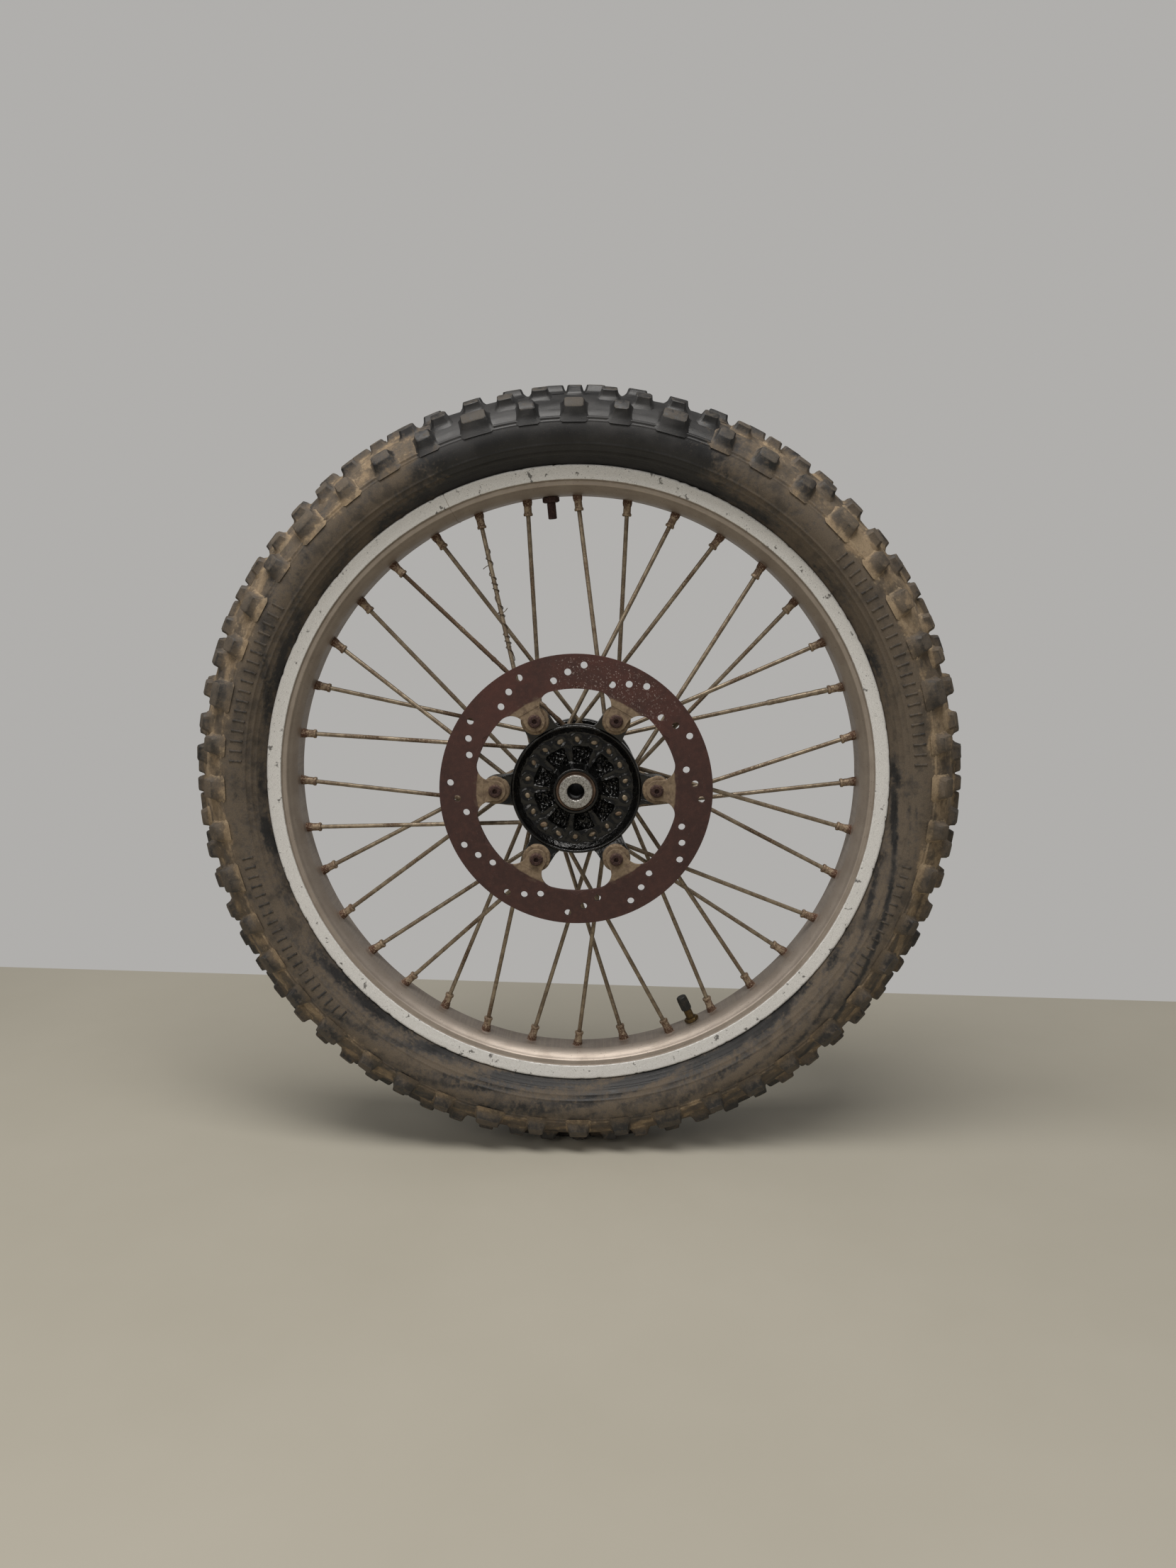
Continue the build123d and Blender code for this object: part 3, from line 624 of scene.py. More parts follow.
def shown(
    name: str, mesh: bpy.types.Mesh, finish: Finish, body: str, stands_for: tuple, sharp: float
) -> bpy.types.Object:
    """Puts a mesh into the scene with its finish, its body and the nodes that it stands for."""
    mesh.shade_smooth()
    mesh.set_sharp_from_angle(angle=math.radians(sharp))
    mesh.materials.append(finish.material())
    made = linked(name, mesh)
    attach(made, body)
    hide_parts(*stands_for)
    log.info("%s: %d faces on %s", name, len(mesh.polygons), body)
    return made


def bevelled_node(
    name: str, node: str, finish: Finish, body: str, edge: float
) -> bpy.types.Object:
    """Makes a piece from a node's own mesh, merged, with its edges rounded.

    Args:
        name: The piece's name.
        node: The node, whose mesh is copied.
        finish: Its finish.
        body: The body it rides on.
        edge: The width of the rounding, in mm.

    Returns:
        The object.
    """
    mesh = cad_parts[node].data.copy()
    mesh.materials.clear()
    work = bmesh.new()
    work.from_mesh(mesh)
    bmesh.ops.remove_doubles(work, verts=work.verts, dist=2e-6)
    bmesh.ops.dissolve_limit(work, angle_limit=math.radians(0.5), verts=work.verts, edges=work.edges)
    bmesh.ops.recalc_face_normals(work, faces=work.faces)
    work.to_mesh(mesh)
    work.free()
    made = shown(name, mesh, finish, body, (node,), SHARP)
    bevel = made.modifiers.new("edges", "BEVEL")
    bevel.width = edge * MM
    bevel.segments = 2
    bevel.angle_limit = math.radians(SHARP)
    bevel.harden_normals = True
    return made


def dress(node: str, finish: Finish) -> None:
    """Gives a node of the frame its finish."""
    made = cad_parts[node]
    made.data.materials.clear()
    made.data.materials.append(finish.material())
    log.info("%s keeps its shape", node)


def swept(section: np.ndarray, angle: np.ndarray) -> tuple:
    """A section's radii and its places along the axle, each as rows by columns of angles."""
    return section[:, :1] + 0 * angle, section[:, 1:] + 0 * angle


def about_axle(radius: np.ndarray, angle: np.ndarray, along: np.ndarray) -> np.ndarray:
    """Points at radii and angles (in degrees) about the axle and places along it."""
    turn = np.radians(angle)
    return np.stack(np.broadcast_arrays(radius * np.cos(turn), along, radius * np.sin(turn)), axis=-1)


def softened(corners: list, cut: float, steps: int = 4, closed: bool = True) -> np.ndarray:
    """Rounds a profile's corners: each becomes a short curve of (1-t)^2 A + 2t(1-t) P + t^2 B.

    Args:
        corners: The profile's corners, two numbers each.
        cut: How far from a corner its rounding starts, at most 45% of the way to the next.
        steps: How many points each rounding takes.
        closed: Whether the last corner is joined to the first. The ends of an open one stay.

    Returns:
        The rounded profile's points.
    """
    points = np.array(corners, float)
    before, after = np.roll(points, 1, axis=0) - points, np.roll(points, -1, axis=0) - points
    lengths = [np.linalg.norm(way, axis=1, keepdims=True) for way in (before, after)]
    start, end = [
        points + way * np.minimum(cut / np.maximum(far, 1e-9), 0.45)
        for way, far in zip((before, after), lengths)
    ]
    share = np.linspace(0, 1, steps)[None, :, None]
    curve = (1 - share) ** 2 * start[:, None] + 2 * share * (1 - share) * points[:, None]
    curve = curve + share**2 * end[:, None]
    if closed:
        return curve.reshape(-1, points.shape[1])
    return np.concatenate([points[:1], curve[1:-1].reshape(-1, points.shape[1]), points[-1:]])


def spaced(line: np.ndarray, gap: float) -> np.ndarray:
    """Adds points to a line so that none of its runs is longer than a gap, keeping its corners."""
    runs = np.linalg.norm(np.diff(line, axis=0), axis=1)
    place = np.concatenate([[0], np.cumsum(runs)])
    counts = np.maximum(1, np.ceil(runs / gap).astype(int))
    wanted = np.concatenate([place[i] + runs[i] * np.arange(n) / n for i, n in enumerate(counts)])
    wanted = np.append(wanted, place[-1])
    return np.stack([np.interp(wanted, place, line[:, i]) for i in range(line.shape[1])], axis=1)


def arc_through(start: tuple, middle: tuple, end: tuple, steps: int) -> np.ndarray:
    """Points of the circle's arc through three points: all are equally far from its centre."""
    (ax, ay), (bx, by), (cx, cy) = start, middle, end
    twice = 2 * (ax * (by - cy) + bx * (cy - ay) + cx * (ay - by))
    squares = [x * x + y * y for x, y in (start, middle, end)]
    x = (squares[0] * (by - cy) + squares[1] * (cy - ay) + squares[2] * (ay - by)) / twice
    y = (squares[0] * (cx - bx) + squares[1] * (ax - cx) + squares[2] * (bx - ax)) / twice
    angles = np.unwrap([math.atan2(py - y, px - x) for px, py in (start, middle, end)])
    turn = np.interp(np.linspace(0, 1, steps), (0, 0.5, 1), angles)
    far = math.hypot(ax - x, ay - y)
    return np.stack([x + far * np.cos(turn), y + far * np.sin(turn)], axis=1)


def waves(seed: int, first: np.ndarray, second: np.ndarray, size: float, count: int = 24) -> np.ndarray:
    """Uneven ripples: a sum of sine waves with seeded directions, lengths near size, and phases.

    Args:
        seed: What the waves are drawn from.
        first: One coordinate of each point, in mm.
        second: The other coordinate, in mm.
        size: The middle wave length, in mm.
        count: How many waves are summed.

    Returns:
        A height for each point, mostly from -1 to 1.
    """
    draw = np.random.default_rng(seed)
    turn = draw.uniform(0, 2 * math.pi, (2, count))
    rate = 2 * math.pi / (size * draw.uniform(0.5, 2.0, count))
    total = 0.0
    for k in range(count):
        total = total + np.sin(
            rate[k] * (first * math.cos(turn[0, k]) + second * math.sin(turn[0, k])) + turn[1, k]
        )
    return total / math.sqrt(count)


def bump(distance: np.ndarray, width: float) -> np.ndarray:
    """A bell-shaped bump of height 1: e to the minus square of distance over width."""
    return np.exp(-((distance / width) ** 2))


def step(value: np.ndarray, low: float, high: float) -> np.ndarray:
    """A smooth step from 0 at low to 1 at high: 3t^2 - 2t^3."""
    share = np.clip((value - low) / (high - low), 0, 1)
    return share * share * (3 - 2 * share)


def off(angle: np.ndarray, centre: float) -> np.ndarray:
    """How many degrees an angle is from another, from -180 to 180."""
    return (angle - centre + 180) % 360 - 180


def turned(profile: np.ndarray, steps: int, across_flats: np.ndarray | float = 0.0, sides: int = 6) -> Shell:
    """A turned part: its profile of (radius, height) carried round its own z.

    Where across_flats isn't 0, a row's radius is cut to a polygon with those flats:
    half the flats over the cosine of the angle from the nearest flat's middle.

    Args:
        profile: The profile's points, from one end on the axis to the other, or a closed ring.
        steps: How many columns it has.
        across_flats: The polygon's size for each row, in mm.
        sides: How many flats it has.

    Returns:
        The surface in its own frame.
    """
    turn = np.arange(steps) * 2 * math.pi / steps
    radius = np.broadcast_to(profile[:, :1], (len(profile), steps))
    flats = np.broadcast_to(np.reshape(across_flats, (-1, 1)), (len(profile), 1))
    half = math.pi / sides
    edge = flats / 2 / np.cos((turn + half) % (2 * half) - half)[None, :]
    radius = np.where(flats > 0, np.minimum(radius, edge), radius)
    height = np.broadcast_to(profile[:, 1:], radius.shape)
    points = np.stack([radius * np.cos(turn), radius * np.sin(turn), height], axis=-1)
    ring = profile[0, 0] > 0 and profile[-1, 0] > 0
    return grid(points, ring, True)


def tube(path: np.ndarray, radius: np.ndarray | float, normal: np.ndarray, steps: int) -> Shell:
    """A round bar along a path, closed at both ends.

    Each ring lies in the plane of a normal and of its cross product with the path's direction.

    Args:
        path: The centre line, points by 3, in mm.
        radius: The bar's radius, one number or one for each point.
        normal: A direction across the path, one or one for each point.
        steps: How many points a ring has.

    Returns:
        The surface.
    """
    along = np.gradient(path, axis=0)
    along /= np.linalg.norm(along, axis=1, keepdims=True)
    side = normal - (normal * along).sum(axis=1, keepdims=True) * along
    side /= np.linalg.norm(side, axis=1, keepdims=True)
    other = np.cross(along, side)
    turn = np.arange(steps) * 2 * math.pi / steps
    wide = np.broadcast_to(np.reshape(radius, (-1, 1, 1)), (len(path), 1, 1))
    rings = path[:, None] + wide * (
        side[:, None] * np.cos(turn)[None, :, None] + other[:, None] * np.sin(turn)[None, :, None]
    )
    ends = [np.broadcast_to(path[i], (1, steps, 3)) for i in (0, -1)]
    return grid(np.concatenate([ends[0], rings, ends[1]]), False, True)


# ---------------------------------------------------------------- tyre


@dataclass
class Tyre:
    """The knobbly tyre: a carcass turned about the axle and blocks that stand on its tread."""

    section_r: float = 296.5
    arc_r: float = 46.0
    arc_end: float = 51.5
    side: tuple = (306.0, 43.3)
    foot: tuple = (284.0, 28.6)
    columns: int = 360
    # Raised rings on the wall: radius, half width and height.
    ring_rows: tuple = (
        (317.5, 0.9, 0.75),
        (314.6, 0.5, 0.35),
        (296.0, 0.7, 0.6),
        (291.5, 0.8, 0.6),
        (287.6, 0.6, 0.5),
    )
    inner_arc_r: float = 39.5
    sink: float = 2.0
    pitches: int = 12
    # Rows of blocks: lean from the crown, width, length, angles in one pitch, and the outer ramp.
    rows: tuple = (
        (0.0, 17.0, 19.0, (3.0, 9.0, 15.0, 21.0, 27.0), 0.0),
        (12.0, 13.0, 15.0, (0.0,), 0.0),
        (22.0, 13.5, 16.0, (5.0, 15.0, 25.0), 0.0),
        (30.5, 13.5, 16.0, (10.0, 20.0), 1.0),
        (50.5, 14.0, 24.0, (15.0,), 4.5),
        (50.5, 14.0, 16.0, (7.0, 23.0), 4.5),
        (50.5, 14.0, 19.5, (0.0,), 4.5),
    )
    # Rows of moulded ribs: first and last angle, radius and half length.
    rib_rows: tuple = (
        (148, 176, 304.0, 5.5),
        (192, 226, 303.0, 5.0),
        (4, 42, 304.0, 5.5),
        (-34, -12, 303.0, 4.0),
    )
    rib_pitch: float = 1.7
    # Which points of the half section are the wall.
    rib_span: tuple = (18, 70)
    # How dusty the tread is at an angle about the axle.
    dust_angles: tuple = (0, 40, 64, 74, 106, 118, 150, 185, 215, 260, 300, 330, 360)
    dust_shares: tuple = (0.95, 0.95, 0.7, 0.02, 0.02, 0.75, 0.92, 0.85, 0.72, 0.66, 0.7, 0.85, 0.95)

    def dust_at(self, angle: np.ndarray) -> np.ndarray:
        """How dusty the tread is at each angle."""
        return np.interp(angle % 360, self.dust_angles, self.dust_shares)

    def profile(self) -> tuple:
        """The carcass's half section from the crown to the bead and back inside.

        The crown is an arc, the wall an arc through three points, and raised rings are bumps that
        stand out along the wall.

        Returns:
            The points as (radius, place along Y), and how much each lies in the tread.
        """
        lean = np.radians(np.linspace(0, self.arc_end, 18))
        crown = np.stack([self.section_r + self.arc_r * np.cos(lean), self.arc_r * np.sin(lean)], axis=1)
        wall = spaced(arc_through(tuple(crown[-1]), self.side, self.foot, 40), 0.9)
        out = np.gradient(wall, axis=0)
        out = np.stack([out[:, 1], -out[:, 0]], axis=1) / np.linalg.norm(out, axis=1, keepdims=True)
        radius = wall[:, 0]
        rings = sum(high * bump(radius - middle, wide) for middle, wide, high in self.ring_rows)
        wall = wall + out * rings[:, None] * np.sign(out[:, 1:2])
        bead = [(281.1, 25.2), (280.9, 23.8), (279.3, 22.5), (268.5, 19.9), (267.1, 18.6), (267.1, 15.0)]
        bead += [(268.5, 14.2), (273.2, 15.1), (284.5, 23.5)]
        inside = arc_through((284.5, 23.5), (304.0, 38.3), (321.09, 30.91), 10)
        ceiling = np.radians(np.linspace(self.arc_end, 0, 12))
        roof = np.stack([np.cos(ceiling), np.sin(ceiling)], axis=1) * self.inner_arc_r + (self.section_r, 0)
        half = np.concatenate([crown, wall[1:], softened(bead, 0.4, 3, False), inside[1:], roof[1:]])
        return half, step(half[:, 0], 298, 322)

    def carcass(self) -> Shell:
        """Turns the whole section about the axle, with slight waves in the rubber."""
        half, tread = self.profile()
        section = np.concatenate([half[::-1] * (1, -1), half[1:]])[:-1]
        share = np.concatenate([tread[::-1], tread[1:]])[:-1]
        angle = np.arange(self.columns) * 360 / self.columns
        radius, along = swept(section, angle[None, :])
        lump = waves(3, np.radians(angle)[None, :] * radius, along * 1.5, 14)
        radius = radius + 0.3 * lump * step(radius, 318, 330)
        patch = 0.5 + 0.5 * waves(5, np.radians(angle)[None, :] * radius, along, 60)
        dusty = self.dust_at(angle)[None, :]
        film = dusty * (0.95 + 0.15 * share[:, None]) * (0.62 + 0.5 * patch)
        film = film - 0.25 * bump(radius - 284, 4.0)
        tread = dusty * share[:, None] * (0.45 + 0.6 * patch) + 0.15 * bump(radius - 317.5, 1.6) * dusty
        marks = {"dust": film, "tread": tread, "wear": 0.15}
        return grid(about_axle(radius, angle[None, :], along), True, True, **marks)

    def knobs(self) -> list:
        """The tread blocks: stacked eight-sided rings that flare at the foot and round over at the top."""
        heights = np.array([0.4, 2.2, 4.2, 8.5, 9.25, 9.5])
        insets = np.array([-3.6, -1.4, 0.2, 1.3, 1.8, 2.8])
        cuts = np.array([3.6, 2.8, 1.9, 1.7, 1.6, 1.5])
        draw = np.random.default_rng(11)
        shells = []
        for lean, width, length, angles, ramp in self.rows:
            for sign in sorted({1, -1 if lean else 1}):
                angle = (np.arange(self.pitches)[:, None] * 360 / self.pitches + np.array(angles)).ravel()
                half_x, half_y = width / 2 - insets, length / 2 - insets
                x = np.stack([half_x, half_x, half_x - cuts, cuts - half_x] * 2, axis=1)
                x = x * np.array([1, 1, 1, 1, -1, -1, -1, -1])
                y = np.stack([cuts - half_y, half_y - cuts, half_y, half_y], axis=1)
                y = np.concatenate([y, -y], axis=1)
                z = np.broadcast_to(heights[:, None], x.shape)
                slope = ramp * (1 - z / heights[-1]) ** 1.4
                x = x + np.where(x * sign > 0, sign * slope, 0)
                block = np.stack([x, y, z], axis=-1)
                middle = np.broadcast_to([0, 0, heights[-1]], (1, 8, 3))
                block = np.concatenate([block, middle])[None] + np.zeros((len(angle), 1, 1, 1))
                worn = draw.uniform(0, 0.65, (len(angle), 1, 1)) * step(block[..., 2], 4, 9)
                block[..., 2] -= worn
                block[:, 3:6] += draw.normal(0, 0.17, block[:, 3:6].shape) * (1, 1, 0.6)
                block[:, :, :, 2] -= step(block[:, :, :, 2], 8, 9.4) * 0.012 * block[..., 0] ** 2
                turn = math.radians(sign * lean)
                out = about_axle(np.array(1.0), angle, np.array(0.0))
                normal = out * math.cos(turn) + AXLE * math.sin(turn)
                across = AXLE * math.cos(turn) - out * math.sin(turn)
                root = out * self.section_r + normal * (self.arc_r - self.sink)
                axes = np.stack([across, np.cross(normal, across), normal], axis=1)
                points = np.einsum("kria,kab->krib", block, axes) + root[:, None, None]
                dirt = self.dust_at(angle)[:, None, None]
                level = np.array([1.0, 0.9, 0.5, 0.3, 0.45, 0.5, 0.5])[None, :, None]
                chance = draw.uniform(0.55, 1.25, (len(angle), 1, 1))
                dust = np.broadcast_to(dirt * level * chance, points.shape[:3])
                wear = np.array([0, 0, 0.05, 0.3, 0.85, 0.75, 0.7])[None, :, None]
                wear = np.broadcast_to(wear * draw.uniform(0.6, 1.15, (len(angle), 1, 1)), points.shape[:3])
                shells += [
                    grid(points[k], False, True, dust=dust[k] + 0.3 * dirt[k], tread=dust[k], wear=wear[k])
                    for k in range(len(angle))
                ]
        return [shell.outwards(shell.points.mean(axis=0)) for shell in shells]

    def ribs(self) -> list:
        """Plain moulded ribs: rows of short radial bars, each three rounded rings and a flat top."""
        half, _ = self.profile()
        wall = half[slice(*self.rib_span)]
        slope = np.gradient(wall, axis=0)
        shells = []
        for first, last, radius, reach in self.rib_rows:
            spot = int(np.argmin(np.abs(wall[:, 0] - radius)))
            lean = slope[spot] / np.linalg.norm(slope[spot])
            for sign in (1, -1):
                for angle in np.arange(first, last, self.rib_pitch):
                    out = about_axle(np.array(1.0), np.array(angle), np.array(0.0))
                    along = sign * AXLE
                    down = out * lean[0] + along * lean[1]
                    normal = along * abs(lean[0]) + out * abs(lean[1]) * np.sign(-lean[1] * lean[0])
                    sizes = np.array([(1.1, reach, -0.6), (0.8, reach - 0.3, 0.3), (0.4, reach - 0.7, 0.5)])
                    corner = np.array([(1, 1), (-1, 1), (-1, -1), (1, -1)])
                    height = np.broadcast_to(sizes[:, None, 2:], (3, 4, 1))
                    block = np.concatenate([corner[None] * sizes[:, None, :2], height], axis=2)
                    block = np.concatenate([block, np.broadcast_to([0, 0, 0.5], (1, 4, 3))])
                    origin = out * wall[spot, 0] + along * wall[spot, 1]
                    points = block @ np.stack([np.cross(down, normal), down, normal]) + origin
                    shells.append(grid(points, False, True, dust=0.55 * self.dust_at(angle)))
        return [shell.outwards(shell.points.mean(axis=0)) for shell in shells]

    def build(self) -> None:
        """Makes the tyre, and dresses the tube and the tape inside it."""
        piece("tyre_carcass", self.carcass(), TYRE_RUBBER, WHEEL, ("tyre",), 60)
        piece("tyre_knobs", joined(self.knobs()), TYRE_RUBBER, WHEEL, ("tyre",), 30)
        piece("tyre_ribs", joined(self.ribs()), TYRE_RUBBER, WHEEL, ("tyre",), 30)
        dress("inner_tube", TUBE_RUBBER)
        dress("rim_tape", TUBE_RUBBER)


# ---------------------------------------------------------------- rim


@dataclass
class Rim:
    """The aluminium rim: one profile turned about the axle, with spoke seats, nicks and a butt weld."""

    bed_r: float = 256.5
    columns: int = 800
    weld_angle: float = 114.0
    nipple_phase: float = -0.3
    # Where the seats lie along Y, from the nipple at 0 degrees in steps of 10.
    seat_sides: tuple = (5.2, -5.2, 1.0, -1.0)

    def section(self) -> np.ndarray:
        """Half the section, from the bed's middle over the shoulder, the groove and the flange's lip."""
        bed = spaced(np.array([(256.5, 0.0), (256.5, 10.0)]), 1.4)
        shoulder = arc_through((256.5, 10.5), (260.8, 18.6), (268.0, 24.2), 22)
        place = shoulder[:, 0]
        shoulder[:, 1] += 1.1 * bump(place - 263.8, 1.1) - 0.6 * bump(place - 267.2, 0.7)
        band = [(268.5, 25.2), (269.6, 25.3), (279.2, 26.6), (280.3, 26.2), (280.7, 25.4), (280.7, 24.4)]
        band = spaced(softened([tuple(shoulder[-1]), *band, (279.3, 22.9)], 0.5, 3, False), 1.6)
        inside = [(268.5, 20.3), (266.7, 19.0), (266.2, 15.7), (262.3, 13.7), (259.9, 10.2), (259.9, 0.5)]
        return np.concatenate([bed, shoulder, band[1:], inside])

    def build(self) -> None:
        """Turns the section, then raises the seats, cuts the nicks and presses in the weld's line."""
        half = self.section()
        section = np.concatenate([half * (1, -1), half[::-1]])
        even = np.arange(self.columns) * 360 / self.columns
        angle = np.unique(np.concatenate([even, self.weld_angle + np.linspace(-0.3, 0.3, 13)]))[None, :]
        radius, along = swept(section, angle)
        number = np.round((angle - self.nipple_phase) / 10)
        seat = np.array(self.seat_sides)[number.astype(int) % 4]
        aside = np.radians(angle - self.nipple_phase - 10 * number) * self.bed_r
        away = np.hypot(aside, along - seat)
        bed = step(-radius, -258.4, -257.0)
        radius = radius - 0.55 * bump(away, 5.2) * bed + 0.5 * bump(away - 6.6, 1.2) * bed
        weld = bump(off(angle, self.weld_angle), 0.1)
        draw = np.random.default_rng(21)
        nicks = dents = 0 * angle
        limits = ((0, 360), (0.15, 0.7), (0.12, 0.45))
        for spot, deep, wide in zip(*(draw.uniform(low, high, 90) for low, high in limits)):
            nicks = nicks + deep * bump(off(angle, spot), wide)
            dents = dents + 0.5 * deep * bump(off(angle, spot + 0.2), wide)
        lip = step(radius, 278.2, 280.2)
        inwards = dents * step(radius, 276.0, 279.5) + 0.35 * weld * step(radius, 262, 270)
        radius = radius - nicks * lip - 0.3 * weld
        along = along - np.sign(along) * inwards
        along = along + 0.05 * waves(23, np.radians(angle) * radius, radius * 3, 20)
        bare = step(radius, 267.6, 268.3) * step(np.abs(along), 23.9, 24.3)
        rust = bump(away, 6.0) * bed + 0.5 * weld
        cloud = 0.4 + 0.3 * waves(25, angle * 4.5, along, 30)
        # Painted shade: a dark line in the groove beside the band, cloudy darkening over the bed and a darker
        # flange edge at radius 280; the weld's part is real grime.
        grime = 1.0 * bump(radius - 267.6, 1.1) * (np.abs(along) > 22) + 0.5 * bed * cloud
        grime = grime + 0.35 * bump(radius - 280, 1.0) + 0.8 * weld
        shell = grid(about_axle(radius, angle, along), True, True, bare=bare, rust=rust, grime=grime)
        piece("rim_band", shell, RIM_METAL, WHEEL, ("rim",), 50)


# ---------------------------------------------------------------- spokes and nipples


@dataclass(frozen=True)
class Lacing:
    """A set of nine spokes: its side, its angles at the rim and the hub, and whether it crosses over."""

    name: str
    side: Side
    nipple: float
    hole: float
    crossing: int


@dataclass
class Spokes:
    """The thirty-six spokes with their heads, nipples, and the repairs on three of them."""

    lacings: tuple = (
        Lacing("left_leading", Side.LEFT, 30, 68.5, 1),
        Lacing("left_trailing", Side.LEFT, 50, 8.5, 0),
        Lacing("right_leading", Side.RIGHT, 20, 58.5, 1),
        Lacing("right_trailing", Side.RIGHT, 40, -1.5, 0),
    )
    radius: float = 1.95
    hole_r: float = 44.0
    bed_r: float = 256.5
    webs: tuple = ((39.0, 33.0), (29.0, 23.0))
    web_gap: float = 2.2
    crossing_gap: float = 4.2
    nipple_side: float = 5.2
    nipple_phase: float = -0.3
    past_bed: float = 2.0
    count: int = 9

    def line(self, lacing: Lacing, turn: int) -> tuple:
        """A spoke's head, elbow and place in the rim bed, and its direction, a unit vector."""
        sign = lacing.side.value
        face, back = self.webs[0 if sign < 0 else 1]
        pitch = 360 / self.count * turn
        at_elbow = sign * (back - self.web_gap - lacing.crossing * self.crossing_gap)
        at_bed = sign * (self.nipple_side - lacing.crossing * self.crossing_gap)
        head = about_axle(self.hole_r, lacing.hole + pitch, sign * face)
        elbow = about_axle(self.hole_r, lacing.hole + pitch, at_elbow)
        bed = about_axle(self.bed_r, lacing.nipple + self.nipple_phase + pitch, at_bed)
        return head, elbow, bed, (bed - elbow) / np.linalg.norm(bed - elbow)

    def spoke(self, lacing: Lacing, turn: int) -> list:
        """A spoke's bar, from its head through the elbow to its end, and its domed oval head."""
        head, elbow, bed, lean = self.line(lacing, turn)
        route = softened([head, elbow, bed + lean * self.past_bed], 2.5, 8, False)
        path = spaced(route, 2.6)
        place = np.concatenate([[0], np.cumsum(np.linalg.norm(np.diff(path, axis=0), axis=1))])
        seed = int(100 * lacing.nipple + turn)
        rough = 0.035 * waves(seed, place, 0 * place, 7)
        rust = 0.42 + 0.13 * waves(seed + 1, place, 0 * place, 50)
        if lacing.name == "left_trailing" and turn == 2:
            crust = np.maximum(0, waves(seed + 2, place, 0 * place, 9))
            rough = rough + 0.32 * crust * step(-place, -235, -60)
            rust = rust + 0.3
        wide = self.radius + rough * step(-place, -252, -248)
        bar = tube(path, np.minimum(wide, 2.5), np.cross(lean, head - elbow)[None, :], 12)
        bar.marks["rust"] = np.repeat(np.concatenate([rust[:1], rust, rust[-1:]]), 12)
        sign = lacing.side.value * AXLE
        dome = turned(softened([(0, 1.9), (2.1, 1.8), (3.1, 0.5), (3.0, 0.0), (0, 0.0)], 0.8, 4, False), 24)
        draw = np.random.default_rng(seed)
        dome.points = dome.points * (draw.uniform(0.9, 1.15), draw.uniform(0.55, 0.85), 1)
        flat = lean - (lean * sign).sum() * sign + 0.5 * draw.normal(0, 1, 3) * (1, 0, 1)
        knob = placed(dome, head - draw.uniform(0.3, 1.3) * sign, flat / np.linalg.norm(flat), sign)
        knob.marks["rust"] = np.full(len(knob.points), draw.uniform(0.1, 0.6))
        return [bar, knob]

    def nipple(self, lacing: Lacing, turn: int) -> Shell:
        """A nipple: a turned barrel with four flats near its tip and a cone under the rim."""
        _, _, bed, lean = self.line(lacing, turn)
        corners = [(1.82, -14), (3.7, -14), (4.1, -13.6), (4.1, -11.9), (3.6, -11.5), (3.7, -11)]
        corners += [(3.8, -5.2), (4.3, -2.4), (4.0, 2.4), (4.8, 2.4), (4.8, 3.9), (4.0, 5.4), (1.82, 5.4)]
        profile = softened(corners, 0.25, 3)
        flats = np.where((profile[:, 1] > -11.2) & (profile[:, 1] < -5.4), 6.8, 0.0)
        barrel = turned(profile, 24, flats, 4)
        height = barrel.points[:, 2]
        uneven = 0.1 * waves(int(10 * lacing.nipple + turn), height, 0 * height, 4)
        barrel.marks["rust"] = 0.28 + 0.45 * step(height, -8, -2) + uneven
        return placed(barrel, bed, AXLE, lean)

    def sleeve(self, lacing: Lacing, turn: int) -> Shell:
        """A thicker sleeve slipped over part of a spoke."""
        _, _, bed, lean = self.line(lacing, turn)
        path = spaced(np.stack([bed - 70 * lean, bed - 13.5 * lean]), 1.5)
        place = np.linspace(0, 56, len(path))
        wide = 2.55 + 0.12 * waves(77, place, 0 * place, 8)
        wide = wide - 0.5 * bump(place, 1.5) - 0.4 * bump(place - 56, 1.5)
        return tube(path, wide, AXLE[None, :], 16)

    def binding(self, lacing: Lacing, turn: int) -> list:
        """Wire wound round a spoke: a helix of uneven pitch, with three short tails that stick out."""
        _, _, bed, lean = self.line(lacing, turn)
        side = np.cross(lean, AXLE)
        side /= np.linalg.norm(side)
        other = np.cross(lean, side)
        place = np.linspace(33, 134, 700)
        turns = 2 * math.pi * (place / 9.5 + 0.7 * waves(41, place, 0 * place, 40))
        out = side * np.cos(turns)[:, None] + other * np.sin(turns)[:, None]
        far = (self.radius + 0.42 + 0.22 * np.abs(waves(42, place, 0 * place, 12)))[:, None]
        wires = [tube(bed - lean * place[:, None] + out * far, 0.42, out, 7)]
        for start, reach, turn_at in ((47, (6.0, 2.5), 0.6), (90, (4.5, -3.0), 3.4), (121, (7.0, 1.0), 1.9)):
            away = side * math.cos(turn_at) + other * math.sin(turn_at)
            share = np.linspace(0, 1, 14)[:, None]
            tail = bed - lean * (start + reach[1] * share**2) + away * (1.9 + reach[0] * share**1.3)
            wires.append(tube(tail, 0.36, AXLE[None, :], 7))
        return wires

